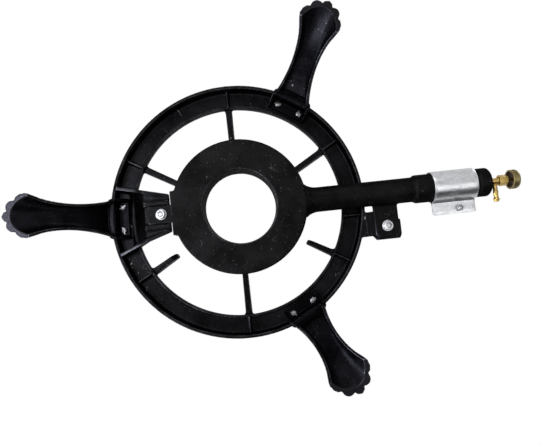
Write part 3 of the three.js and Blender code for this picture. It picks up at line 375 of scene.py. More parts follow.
# Gap of touching faces, overrun of a cutter, lap of joined solids, and reach of one place
SEAT_GAP = 0.3 * MM
OVERRUN = 2 * MM
LAP = 1 * MM
SAME_PLACE = 0.001 * MM
# Turns about the ring's axis, in degrees
LONG_RIB_ANGLES = (-150, -90, -30, 90)
SHORT_RIB_ANGLES = (30, 150)
LEG_ANGLES = {"rear": 180, "left": 60, "right": -60}
# Angles past which an edge stays crisp
DRILLED = math.radians(60)
CRISP = math.radians(35)
SHEET_CRISP = math.radians(40)
# Steps round a turned piece
LATHE_STEPS = 288
TUBE_STEPS = 160
BORE_STEPS = 128
WASHER_STEPS = 72
SMALL_STEPS = 64
SCREW_STEPS = 56
FINE_BORE_STEPS = 48
HOLE_STEPS = 40
PORT_STEPS = 24
# Steps along an arc
ARC_STEPS = 24
FLARE_STEPS = 4
NECK_STEPS = 8
WINDOW_STEPS = 16
# Wear on faces that point down: how bare they are, and between which heights
SOLE_WEAR = (0.035, -3 * MM, 0.8 * MM)
RIM_WEAR = (0.34, 93.5 * MM, 103.5 * MM)


def places():
    """Heights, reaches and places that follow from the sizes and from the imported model"""
    s = bpy.context.scene.gas_burner
    ring, burner, leg = s.ring, s.burner, s.leg
    low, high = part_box("support_ring")
    p = SimpleNamespace()
    p.axis = Vector((low.x + ring.radius, (low.y + high.y) / 2, 0))
    burner_low, burner_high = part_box("burner_casting")
    p.head_axis = Vector((p.axis.x + burner.forward, (burner_low.y + burner_high.y) / 2, 0))
    p.sideways = p.head_axis.y - p.axis.y
    p.on_ring = Matrix.Translation(p.axis)
    p.on_head = Matrix.Translation(p.head_axis)
    p.ring_top = high.z - ring.rib_rise
    p.skirt_bottom = p.ring_top - ring.height
    p.plate_bottom = p.ring_top - ring.plate
    p.ring_inner = ring.radius - ring.width
    p.seat = p.skirt_bottom - burner.seat_drop
    p.lug_top = p.seat - SEAT_GAP
    p.lug_bottom = p.lug_top - burner.lug_thickness
    p.head_bottom = p.skirt_bottom - burner.head_drop
    p.head_top = p.head_bottom + burner.head_height
    p.tube_height = p.skirt_bottom - burner.tube_drop
    p.platform_end = burner.head_radius + ring.platform_gap
    p.platform_bend_top = p.ring_inner + ring.platform_flat
    p.platform_bend_bottom = p.platform_bend_top - ring.platform_slope
    p.rear_lug_reach = p.platform_bend_bottom + burner.forward - burner.rear_lug_gap
    p.rear_screw_reach = (burner.head_radius + p.rear_lug_reach) / 2
    p.side_lug_start = ring.radius + burner.side_lug_outset - burner.forward
    p.side_lug_end = p.side_lug_start + burner.side_lug_length
    p.side_lug_reach = burner.tube_radius + burner.side_lug_width
    p.side_screw = Vector((p.side_lug_start + burner.side_screw_inset,
                           p.side_lug_reach - burner.side_screw_edge, 0))
    p.hole_below = burner.head_radius - burner.head_band
    p.hole_above = p.hole_below - burner.hole_draft
    p.bell_radius = burner.tube_radius + burner.bell_step
    p.bell_bore = p.bell_radius - burner.bell_wall
    p.bell_start = p.side_lug_end + burner.bell_outset
    p.rim_radius = p.bell_radius + burner.rim_rise
    p.rim_end = p.bell_start + burner.bell_length
    p.boss_radius = p.bell_radius + burner.boss_rise
    p.boss_start = p.rim_end + burner.cage_length
    p.boss_end = p.boss_start + burner.boss_length
    p.hook_outer = ring.radius - ring.skirt_wall - SEAT_GAP
    p.leg_pad_inner = p.ring_inner + ring.lip_wall + leg.pad_lip_gap
    p.leg_root = p.hook_outer - leg.hook_wall
    p.leg_foot = p.leg_root + leg.splay
    p.shelf_top = p.skirt_bottom - SEAT_GAP
    p.shelf_bottom = p.shelf_top - leg.pad
    p.pad_top = p.plate_bottom - SEAT_GAP
    p.pad_bottom = p.pad_top - leg.pad
    p.ear_half = leg.root_half + leg.ear_rise
    p.leg_screw_circle = p.leg_root - s.fasteners.leg_head - SEAT_GAP
    p.leg_screw_half = p.ear_half - leg.screw_ear_gap
    p.shutter_bore = p.rim_radius + SEAT_GAP
    p.shutter_start = p.rim_end - s.shutter.lap
    p.shutter_end = p.boss_start - s.shutter.end_gap
    p.flange_reach = p.shutter_bore + s.shutter.flange
    p.clamp = Vector((p.shutter_start + s.shutter.clamp_inset,
                      p.flange_reach - s.shutter.clamp_edge, 0))
    p.valve_axis = p.head_axis + Vector((0, 0, p.tube_height))
    p.on_tube = at(*p.valve_axis, PLUS_X)
    p.body_end = p.boss_end + s.valve.body_length
    p.barb_place = p.boss_end + s.valve.barb_outset
    p.gland_nut_start = p.body_end + SEAT_GAP
    p.gland_nut_end = p.gland_nut_start + s.valve.gland_nut_length
    p.knob_start = p.gland_nut_end + s.knob.stand_off
    p.knob_end = p.knob_start + s.knob.length
    return p


def mix(first, second, share):
    """The value at a share of the way from first to second"""
    return first + (second - first) * share


def way(value, start, end):
    """Share, kept from 0 to 1, of the way from start to end"""
    return min(max((value - start) / (end - start), 0), 1)


def flat_face(bm, points, height, lift):
    """One face through plan points at a height; lift turns (u, v, height) into a place"""
    return bm.faces.new([bm.verts.new(lift(u, v, height)) for u, v in points])


def lift_plan(u, v, w):
    """Outlines drawn in plan and raised along Z"""
    return (u, v, w)


def lift_side(u, v, w):
    """Outlines drawn in the XZ plane and drawn out along Y"""
    return (u, w, v)


def on_circle(radius, turn):
    """A point on a circle"""
    return radius * math.cos(turn), radius * math.sin(turn)


def box_plan(left, right, low, high):
    """Plan of a rectangle between two X and two Y values"""
    return [(left, low), (right, low), (right, high), (left, high)]


def prism(bm, points, low, high, lift=lift_plan, matrix=UPRIGHT):
    """A closed solid over an outline, from low to high, then placed; returns its vertices"""
    face = flat_face(bm, points, low, lift)
    base = list(face.verts)
    result = bmesh.ops.extrude_face_region(bm, geom=[face])
    moved = [item for item in result["geom"] if isinstance(item, bmesh.types.BMVert)]
    step = Vector(lift(0, 0, high)) - Vector(lift(0, 0, low))
    bmesh.ops.translate(bm, verts=moved, vec=step)
    bmesh.ops.transform(bm, matrix=matrix, verts=base + moved)
    return base + moved


def lathe(bm, outline, steps=LATHE_STEPS, matrix=UPRIGHT):
    """Turns a closed outline of (radius, height) points about Z, then places it with a matrix"""
    before = set(bm.verts)
    face = flat_face(bm, outline, 0, lift_side)
    edges = list(face.edges)
    bmesh.ops.delete(bm, geom=[face], context="FACES_ONLY")
    axis_edges = [e for e in edges if all(abs(v.co.x) < SAME_PLACE for v in e.verts)]
    if axis_edges:
        bmesh.ops.delete(bm, geom=axis_edges, context="EDGES")
        edges = [e for e in edges if e.is_valid]
    bmesh.ops.spin(bm, geom=edges, cent=(0, 0, 0), axis=(0, 0, 1), angle=TURN, steps=steps,
                   use_merge=True)
    bmesh.ops.remove_doubles(bm, verts=[v for v in bm.verts if v not in before],
                             dist=SAME_PLACE / 10)
    bmesh.ops.transform(bm, matrix=matrix, verts=[v for v in bm.verts if v not in before])


def at(x, y, z, turn=UPRIGHT):
    """A turn about the origin and then a move to a place"""
    return Matrix.Translation((x, y, z)) @ turn


def about_z(radians, size=4):
    """A turn about Z"""
    return Matrix.Rotation(radians, size, "Z")


def along_tube(outline):
    """Turns (along, radius) points into a lathe outline"""
    return [(radius, along) for along, radius in outline]


def hexagon(bm, across, low, high):
    """A hexagonal bar along Z"""
    corner = across / math.sqrt(3)
    bmesh.ops.create_cone(bm, cap_ends=True, segments=6, radius1=corner, radius2=corner,
                          depth=high - low, matrix=at(0, 0, (low + high) / 2))


def object_from(name, bm, outward=True):
    """Makes an object of a bmesh, with its faces pointing out"""
    if outward:
        bmesh.ops.recalc_face_normals(bm, faces=bm.faces)
    mesh = bpy.data.meshes.new(name)
    bm.to_mesh(mesh)
    bm.free()
    piece = bpy.data.objects.new(name, mesh)
    bpy.context.scene.collection.objects.link(piece)
    return piece


def turned(name, outline, steps=LATHE_STEPS, matrix=UPRIGHT):
    """An object turned from a closed outline of (radius, height) points"""
    bm = bmesh.new()
    lathe(bm, outline, steps, matrix)
    return object_from(name, bm)


def block(name, plan, low, high, matrix):
    """An object raised over a plan, from low to high"""
    bm = bmesh.new()
    prism(bm, plan, low, high, matrix=matrix)
    return object_from(name, bm)


def settle(piece):
    """Turns a piece's modifiers into its mesh"""
    graph = bpy.context.evaluated_depsgraph_get()
    mesh = bpy.data.meshes.new_from_object(piece.evaluated_get(graph))
    piece.modifiers.clear()
    spare = piece.data
    piece.data = mesh
    bpy.data.meshes.remove(spare)


def carve(piece, cutters, keep_cutters=False, operation="DIFFERENCE"):
    """Cuts a piece with closed cutters, or keeps only what lies in them"""
    for cutter in cutters:
        step = piece.modifiers.new("Cut", "BOOLEAN")
        step.operation = operation
        step.solver = "MANIFOLD"
        step.object = cutter
    settle(piece)
    if not keep_cutters:
        for cutter in cutters:
            discard(cutter)


def discard(piece):
    """Removes a cutter or a pattern with its mesh"""
    mesh = piece.data
    bpy.data.objects.remove(piece)
    bpy.data.meshes.remove(mesh)


def melt(piece, voxel, rounds, keep):
    """Runs overlapping solids together into one casting, smoothed for some rounds into soft
    fillets, and keeps a share of its faces"""
    remesh = piece.modifiers.new("Melt", "REMESH")
    remesh.mode = "VOXEL"
    remesh.voxel_size = voxel
    smooth = piece.modifiers.new("Fillets", "SMOOTH")
    smooth.factor = 0.5
    smooth.iterations = rounds
    thin = piece.modifiers.new("Thin", "DECIMATE")
    thin.ratio = keep
    settle(piece)


def soften(piece, width, segments=2, degrees=30):
    """Rounds the edges of a piece that are sharper than an angle"""
    bevel = piece.modifiers.new("Edges", "BEVEL")
    bevel.width = width
    bevel.segments = segments
    bevel.limit_method = "ANGLE"
    bevel.angle_limit = math.radians(degrees)
    bevel.use_clamp_overlap = True
    settle(piece)


def finish_piece(piece, body, material, nodes, crisp=None):
    """Shades a piece, crisp past an angle, finishes it, puts it on its body and hides its nodes"""
    for face in piece.data.polygons:
        face.use_smooth = True
    if crisp is not None:
        piece.data.set_sharp_from_angle(angle=crisp)
    if not any(piece.data.materials):
        piece.data.materials.clear()
        piece.data.materials.append(material)
    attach(piece, body)
    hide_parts(*nodes)


class Sheet:
    """One node tree: adds nodes, sets their values and links them"""

    def __init__(self, holder):
        holder.use_nodes = True
        self.holder = holder
        self.nodes = holder.node_tree.nodes
        self.links = holder.node_tree.links

    def add(self, kind, sockets=None, **settings):
        """A new node with its settings and its sockets' values"""
        node = self.nodes.new(kind)
        for key, value in settings.items():
            setattr(node, key, value)
        for key, value in (sockets or {}).items():
            self.feed(node.inputs[key], value)
        return node

    def feed(self, socket, value):
        """Links a socket to another, or sets its value"""
        if isinstance(value, bpy.types.NodeSocket):
            self.links.new(value, socket)
        elif hasattr(value, "__len__") and len(value) == 3 and socket.type == "RGBA":
            socket.default_value = (*value, 1)
        else:
            socket.default_value = value

    def sum(self, first, second, operation="ADD"):
        return self.add("ShaderNodeMath", {0: first, 1: second}, operation=operation).outputs[0]

    def times(self, first, second):
        return self.sum(first, second, "MULTIPLY")

    def most(self, first, second):
        return self.sum(first, second, "MAXIMUM")

    def mixed(self, share, first, second):
        """A mix of two shaders"""
        return self.add("ShaderNodeMixShader", {0: share, 1: first, 2: second}).outputs[0]


class Finish(Sheet):
    """A material built on the place of each point in its object"""

    def __init__(self, name):
        super().__init__(bpy.data.materials.new(name))
        self.shader = self.nodes["Principled BSDF"]
        self.place = self.add("ShaderNodeTexCoord").outputs["Object"]

    def geometry(self, output):
        return self.add("ShaderNodeNewGeometry").outputs[output]

    def rise(self, vector):
        return self.add("ShaderNodeSeparateXYZ", {"Vector": vector}).outputs["Z"]

    def mapped(self, scale, rotation=(0, 0, 0)):
        sockets = {"Vector": self.place, "Rotation": rotation, "Scale": scale}
        return self.add("ShaderNodeMapping", sockets).outputs["Vector"]

    def noise(self, scale, detail=3, roughness=0.5, vector=None, distortion=0):
        sockets = {"Vector": vector or self.place, "Scale": scale, "Detail": detail,
                   "Roughness": roughness, "Distortion": distortion}
        return self.add("ShaderNodeTexNoise", sockets).outputs["Fac"]

    def ramp(self, value, *stops):
        """Maps a value through (position, grey or colour) stops"""
        node = self.add("ShaderNodeValToRGB", {"Fac": value})
        elements = node.color_ramp.elements
        while len(elements) < len(stops):
            elements.new(0.5)
        for element, (position, tone) in zip(elements, stops):
            element.position = position
            element.color = (tone, tone, tone, 1)
        return node.outputs["Color"]

    def past(self, value, start, end):
        """0 up to a start and 1 past an end"""
        return self.ramp(value, (start, 0.0), (end, 1.0))

    def blend(self, share, first, second):
        """A mix of two colours"""
        return self.add("ShaderNodeMix", {0: share, 6: first, 7: second},
                        data_type="RGBA").outputs[2]

    def share(self, value, start, end, low=0.0, high=1.0, **settings):
        """Value from low to high, by the way from start to end"""
        sockets = {"Value": value, "From Min": start, "From Max": end, "To Min": low,
                   "To Max": high}
        return self.add("ShaderNodeMapRange", sockets, **settings).outputs["Result"]

    def corners(self, deep, flat):
        """Share of inside corners, from the pointiness of a deep one to that of a flat face"""
        return self.ramp(self.geometry("Pointiness"), (deep, 1.0), (flat, 0.0))

    def rubbed_between(self, bottom, top):
        """Share of bare metal on faces that point down and lie between two heights"""
        level = self.rise(self.place)
        risen = self.share(level, bottom, bottom + 2 * MM)
        low = self.times(self.sum(level, top, "LESS_THAN"), risen)
        down = self.share(self.rise(self.geometry("Normal")), -0.75, -0.93)
        uneven = self.ramp(self.noise(120, detail=4, roughness=0.7), (0.3, 0.55), (0.65, 1.0))
        return self.times(self.times(low, down), uneven)

    def bump(self, height, distance, strength, normal=None):
        sockets = {"Height": height, "Distance": distance, "Strength": strength}
        if normal is not None:
            sockets["Normal"] = normal
        return self.add("ShaderNodeBump", sockets).outputs["Normal"]

    def surface(self, **sockets):
        """Sets the shader's sockets and gives the material"""
        for key, value in sockets.items():
            self.feed(self.shader.inputs[key.replace("_", " ")], value)
        return self.holder


def scaled(tint, share):
    return tuple(share * c for c in tint)


def cast_coating(name, coat, worn, scuff, roughness, grain, bare_share, rubbed=None, deep=1.0):
    """Black coated cast iron: sand grain, soft hollows, thin edges and pale scuffs. Rubbed is
    (share, bottom, top) for faces that point down, and deep is the tone left high up in the
    ring's channel, where the base darkens and wear and scuffs fade: painted shade"""
    look = Finish(name)
    sand = look.noise(520, detail=4, roughness=0.62)
    pits = look.noise(190, detail=2)
    hollows = look.noise(34, detail=2)
    cloud = look.noise(26, detail=5, roughness=0.65)
    # Painted shade for the ring's channel: fade runs from 1 at 85 mm up to deep at 106 mm
    fade = look.share(look.rise(look.place), 0.085, 0.106, 1.0, deep)
    thin = look.past(look.geometry("Pointiness"), 0.52, 0.57)
    patchy = look.ramp(look.noise(60, detail=5, roughness=0.7), (0.38, 0.1), (0.6, 1.0))
    wear = look.times(look.times(thin, patchy), bare_share)
    if rubbed is not None:
        share, bottom, top = rubbed
        wear = look.most(wear, look.times(look.rubbed_between(bottom, top), share))
    not_up = look.share(look.rise(look.geometry("Normal")), 0.97, 0.88)
    # Wear fades with the painted shade high up in the ring's channel
    wear = look.times(look.times(wear, not_up), fade)
    streaks = look.noise(150, detail=3, roughness=0.75, distortion=1.6,
                         vector=look.mapped((1, 0.35, 0.6), rotation=(0.2, 0.5, 0.9)))
    flecks = look.past(streaks, 0.67, 0.72)
    spread = look.past(look.noise(22, detail=1), 0.52, 0.6)
    marks = look.times(flecks, spread)
    curls = look.ramp(look.noise(62, detail=1, distortion=1.2),
                      (0.492, 0.0), (0.5, 0.32), (0.508, 0.0))
    rare = look.past(look.noise(31, detail=2), 0.63, 0.68)
    marks = look.most(marks, look.times(curls, rare))
    specks = look.past(look.noise(640, detail=1), 0.74, 0.79)
    marks = look.most(marks, look.times(specks, 0.5))
    # Scuffs and marks fade with the painted shade too
    marks = look.times(marks, fade)
    base = look.blend(look.past(cloud, 0.38, 0.64), scaled(coat, 0.6),
                      scaled(coat, 1.6))
    # Painted shade: the base blends toward black where fade falls below 1
    base = look.blend(look.sum(1.0, fade, "SUBTRACT"), base, (0, 0, 0))
    base = look.blend(wear, base, worn)
    base = look.blend(look.times(marks, 0.45), base, scuff)
    gloss = look.ramp(look.times(cloud, sand), (0.12, roughness - 0.09),
                      (0.42, roughness + 0.12))
    height = look.sum(sand, look.times(pits, 1.6))
    normal = look.bump(height, grain, 0.75, look.bump(hollows, 0.9 * MM, 0.5))
    return look.surface(Base_Color=base, Metallic=0.85, Roughness=gloss,
                        Specular_IOR_Level=0.08, Specular_Tint=(0.25, 0.25, 0.25),
                        Normal=normal)


def plated(name, tint, roughness):
    """Zinc plate: fine crystals, dull clouds, hairline scratches, and corners darkened as painted
    shade
    """
    look = Finish(name)
    fine = look.noise(900)
    cloud = look.noise(120)
    hairs = look.noise(260, detail=2, vector=look.mapped((1, 9, 9)))
    base = look.blend(look.past(cloud, 0.35, 0.65), scaled(tint, 0.6), tint)
    # Painted shade: inside corners, found by their pointiness, blend toward near black
    base = look.blend(look.times(look.corners(0.4, 0.485), 0.9), base, (0.012, 0.011, 0.01))
    gloss = look.ramp(look.times(fine, cloud), (0.1, roughness - 0.08),
                      (0.45, roughness + 0.16))
    normal = look.bump(look.sum(fine, hairs), 0.02 * MM, 0.6)
    return look.surface(Base_Color=base, Metallic=1.0, Roughness=gloss, Normal=normal)


def brushed_sheet(name, tint):
    """Bright rolled sheet: brushing along the tube, spangle and smears"""
    look = Finish(name)
    lines = look.noise(1500, roughness=0.7, vector=look.mapped((0.05, 1, 1)))
    coarse = look.noise(420, detail=2, vector=look.mapped((0.12, 1, 1)))
    spangle = look.noise(260, detail=4, roughness=0.65)
    smear = look.noise(48, detail=4, roughness=0.65, distortion=0.8)
    dull = scaled(tint, 0.72)
    crystals = look.sum(look.times(lines, 0.4), look.times(spangle, 0.6))
    base = look.blend(look.past(crystals, 0.38, 0.6), dull, tint)
    smeared = look.times(look.past(smear, 0.55, 0.72), 0.45)
    base = look.blend(smeared, base, scaled(dull, 0.82))
    gloss = look.ramp(look.times(smear, coarse), (0.12, 0.28), (0.42, 0.46))
    normal = look.bump(look.sum(lines, coarse), 0.03 * MM, 0.5)
    return look.surface(Base_Color=base, Metallic=1.0, Roughness=gloss, Normal=normal)


def turned_brass(name, tint, tarnish, roughness, dirt):
    """Turned brass: tool lines round the axis, brown tarnish in patches and in corners"""
    look = Finish(name)
    lines = look.noise(1400, detail=2, vector=look.mapped((1, 0.05, 0.05)))
    cloud = look.noise(150, detail=4, roughness=0.65)
    fine = look.noise(1100)
    patch = look.past(cloud, 0.46, 0.66)
    base = look.blend(look.times(look.most(patch, look.corners(0.42, 0.5)), dirt), tint,
                      tarnish)
    gloss = look.ramp(look.times(cloud, fine), (0.12, roughness - 0.08),
                      (0.45, roughness + 0.2))
    normal = look.bump(look.sum(lines, fine), 0.025 * MM, 0.5)
    return look.surface(Base_Color=base, Metallic=1.0, Roughness=gloss, Normal=normal)


def painted_shade_cup(name, tint, rust_tint):
    """The knob's cup inside: near black as painted shade of the hollow, with rust-brown patches"""
    look = Finish(name)
    rust = look.noise(220, detail=4, roughness=0.7)
    base = look.blend(look.past(rust, 0.4, 0.72), tint, rust_tint)
    gloss = look.ramp(rust, (0.3, 0.5), (0.7, 0.75))
    normal = look.bump(rust, 0.05 * MM, 0.5)
    return look.surface(Base_Color=base, Metallic=0.35, Roughness=gloss, Normal=normal)


def packing_fibre(name, tint):
    """Graphited packing: short matte fibres"""
    look = Finish(name)
    fibres = look.noise(1500, vector=look.mapped((0.2, 1, 1)))
    base = look.blend(look.past(fibres, 0.4, 0.6), tint, scaled(tint, 2))
    normal = look.bump(fibres, 0.05 * MM, 0.7)
    return look.surface(Base_Color=base, Roughness=0.85, Normal=normal)


def made(name, maker, *values):
    """The finish of a name, made once"""
    finish = name + "_finish"
    return bpy.data.materials.get(finish) or maker(finish, *values)


def finishes():
    """All the finishes, from the colours of the settings"""
    group = bpy.context.scene.gas_burner.finish
    f = SimpleNamespace(**{key: tuple(getattr(group, key)) for key in
                           FinishColours.__annotations__})
    return SimpleNamespace(
        ring_iron=made("ring_iron", cast_coating, f.ring_iron, f.worn_iron, f.scuff, 0.36,
                       0.08 * MM, 0.35, RIM_WEAR),
        # The legs keep 0.3 of their tone high up in the ring's channel: painted shade
        leg_iron=made("leg_iron", cast_coating, f.leg_iron, f.worn_leg, f.scuff, 0.3,
                      0.05 * MM, 1.0, SOLE_WEAR, 0.3),
        burner_iron=made("burner_iron", cast_coating, f.burner_iron, f.worn_iron, f.scuff, 0.5,
                         0.11 * MM, 0.55),
        zinc=made("zinc", plated, f.zinc, 0.34),
        # Brighter copy of the zinc plate: painted light
        fresh_zinc=made("fresh_zinc", plated, f.fresh_zinc, 0.34),
        # Darker copy of the zinc plate: painted shade
        dull_zinc=made("dull_zinc", plated, f.dull_zinc, 0.3),
        sheet=made("galvanised_sheet", brushed_sheet, f.sheet),
        brass=made("brass", turned_brass, f.brass, f.tarnish, 0.26, 0.35),
        dull_brass=made("dull_brass", turned_brass, f.knob_brass, f.tarnish, 0.42, 0.6),
        # The knob's cup inside is near black: painted shade
        cup=made("knob_inside", painted_shade_cup, f.knob_inside, f.rust),
        packing=made("packing_fibre", packing_fibre, f.packing),
    )


def side_prism(bm, points, half, squeeze=None):
    """A side outline drawn across in Y; squeeze then sets each vertex's Y from its place"""
    verts = prism(bm, points, -half, half, lift_side)
    if squeeze:
        for v in verts:
            v.co.y = squeeze(*v.co)
    return verts


def pan_rib(bm, inner, ring, p):
    """One pan rib drawn on +X, flared at the lip and chamfered under its tip"""
    flare_start = p.ring_inner - ring.rib_flare_length
    flare_end = p.ring_inner + ring.lip_wall / 2
    outer = ring.radius - ring.skirt_wall / 2
    bottom = p.plate_bottom - ring.rib_hang
    middle = p.plate_bottom + ring.plate / 2
    top = p.ring_top + ring.rib_rise

    def half_width(x, y, z):
        half = mix(ring.rib_tip_width, ring.rib_root_width, way(x, inner, flare_start)) / 2
        if flare_start < x < flare_end + OVERRUN / 2 and z < p.ring_top:
            rise = way(x, flare_start, p.ring_inner)
            half += (ring.rib_flare_width - ring.rib_root_width) / 2 * rise ** 2
        return math.copysign(half, y)

    flare = [mix(flare_start, p.ring_inner, k / FLARE_STEPS) for k in range(FLARE_STEPS + 1)]
    points = [(inner, bottom + ring.rib_tip_chamfer), (inner + ring.rib_tip_chamfer, bottom),
              *((x, bottom) for x in flare), (flare_end, bottom), (flare_end + OVERRUN, middle),
              (outer, middle), (outer, p.ring_top), (outer - ring.rib_rise, top),
              (flare_end + OVERRUN, top), (flare_end, top),
              *((x, top) for x in reversed(flare)), (inner, top)]
    return side_prism(bm, points, LAP, half_width)


def channel_web(bm, ring, p):
    """A thin web across the channel, drawn on +X"""
    inner = p.ring_inner + ring.lip_wall - LAP
    outer = ring.radius - ring.skirt_wall + LAP
    low, high = p.plate_bottom - ring.web_drop, p.plate_bottom + LAP
    return side_prism(bm, box_plan(inner, outer, low, high), ring.web / 2)


def rear_platform(bm, ring, burner, p):
    """Floor, side walls and guide ribs of the platform that carries the rear lug"""
    root = ring.radius - ring.skirt_wall / 2
    drop = p.plate_bottom - p.seat
    lead = ring.platform_thickness * math.tan(math.atan2(drop, ring.platform_slope) / 2)
    floor_top = p.seat + ring.platform_thickness

    def edge(x, side, inset):
        share = way(-x, p.platform_end, root)
        half = mix(ring.platform_tip_half, ring.platform_root_half, share)
        shift = mix(ring.platform_tip_shift, ring.platform_root_shift, share)
        return shift + side * (half - inset)

    def trim_and_place(verts):
        """Ends the shape in an arc inside the skirt and moves it to the ring"""
        for v in verts:
            v.co.x = max(v.co.x, -math.sqrt(root ** 2 - min(abs(v.co.y), root) ** 2))
        bmesh.ops.transform(bm, matrix=p.on_ring, verts=verts)

    upper = [(-p.platform_end, floor_top), (-p.platform_bend_bottom + lead, floor_top),
             (-p.platform_bend_top + lead, p.ring_top), (-root, p.ring_top)]
    floor = [(-root, p.plate_bottom), (-p.platform_bend_top, p.plate_bottom),
             (-p.platform_bend_bottom, p.seat), (-p.platform_end, p.seat), *upper]
    trim_and_place(side_prism(bm, floor, LAP, lambda x, y, z: edge(x, math.copysign(1, y), LAP)))
    wall = [(-root, p.skirt_bottom), (-p.platform_bend_bottom, p.seat - ring.guide_drop / 2),
            (-p.platform_end, p.seat), *upper]
    middle = p.sideways + burner.rear_lug_shift
    for side in (-1, 1):
        trim_and_place(side_prism(bm, wall, LAP, lambda x, y, z: edge(
            x, side, 0 if y * side > 0 else ring.platform_wall)))
        near = middle + side * (burner.rear_lug_width / 2 + SEAT_GAP)
        low, high = sorted((near, near + side * ring.guide_width))
        prism(bm, box_plan(-p.platform_bend_bottom, -p.platform_end, low, high),
              p.seat - ring.guide_drop, p.seat + LAP, matrix=p.on_ring)


def side_tab(bm, ring, burner, p):
    """The cranked tab beside the mixing tube: a stepped plan bent down from the skirt"""
    root = ring.radius - ring.skirt_wall / 2
    near = burner.tube_radius + p.sideways + ring.tab_tube_gap
    start = ring.radius + ring.tab_step_outset
    end = p.side_lug_end + burner.forward + ring.tab_margin
    far = p.side_lug_reach + p.sideways + ring.tab_margin
    near_far = far - ring.tab_step
    bend_top = ring.radius - ring.tab_lap
    bend_bottom = bend_top + ring.tab_slope
    plan = [(math.sqrt(root ** 2 - near ** 2), near), (start, near),
            (end, near + ring.tab_corner_cut), (end, far - ring.tab_corner),
            (end - ring.tab_corner / 2, far), (start, far),
            (start - ring.tab_corner / 2, near_far),
            (math.sqrt(root ** 2 - near_far ** 2), near_far)]
    others = set(bm.faces)
    prism(bm, plan, 0, ring.tab_thickness)
    for x in (bend_top, bend_bottom):
        faces = [f for f in bm.faces if f not in others]
        edges = {e for f in faces for e in f.edges}
        corners = {v for f in faces for v in f.verts}
        bmesh.ops.bisect_plane(bm, geom=[*faces, *edges, *corners], dist=SAME_PLACE / 10,
                               plane_co=(x, 0, 0), plane_no=(1, 0, 0))
    corners = list({v for f in bm.faces if f not in others for v in f.verts})
    for v in corners:
        v.co.z += mix(p.skirt_bottom, p.seat, way(v.co.x, bend_top, bend_bottom))
    bmesh.ops.transform(bm, matrix=p.on_ring, verts=corners)
    web = box_plan(p.ring_inner + ring.lip_wall - LAP, root, near, near + ring.web)
    prism(bm, web, p.plate_bottom - ring.web_drop, p.plate_bottom + LAP, matrix=p.on_ring)


class GASBURNER_OT_support_ring(bpy.types.Operator):
    """Casts the support ring with its channel, ribs, webs, platform and tab"""
    bl_idname = "gas_burner.support_ring"
    bl_label = "Support Ring"

    def execute(self, context):
        s = context.scene.gas_burner
        ring, burner, p = s.ring, s.burner, places()
        bm = bmesh.new()
        skirt_inside = ring.radius - ring.skirt_wall
        lip_outside = p.ring_inner + ring.lip_wall
        lip_bottom = p.ring_top - ring.lip_height
        lathe(bm, [(skirt_inside, p.skirt_bottom), (ring.radius, p.skirt_bottom),
                   (ring.radius, p.ring_top), (p.ring_inner + ring.lip_draft, p.ring_top),
                   (p.ring_inner, lip_bottom), (lip_outside, lip_bottom),
                   (lip_outside, p.plate_bottom), (skirt_inside, p.plate_bottom)],
              matrix=p.on_ring)
        tips = {**dict.fromkeys(LONG_RIB_ANGLES, burner.head_radius - ring.long_rib_reach),
                **dict.fromkeys(SHORT_RIB_ANGLES, burner.head_radius + ring.short_rib_gap)}
        for degrees, tip in tips.items():
            verts = pan_rib(bm, tip, ring, p) + channel_web(bm, ring, p)
            turn = p.on_ring @ about_z(math.radians(degrees))
            bmesh.ops.transform(bm, matrix=turn, verts=verts)
        rear_platform(bm, ring, burner, p)
        side_tab(bm, ring, burner, p)
        piece = object_from("support_ring_casting", bm)
        melt(piece, voxel=0.95 * MM, rounds=5, keep=0.55)
        finish_piece(piece, "root", finishes().ring_iron, ["support_ring"])
        return {"FINISHED"}


# Power of the sine by which the neck narrows to the tube
NECK_POWER = 0.7


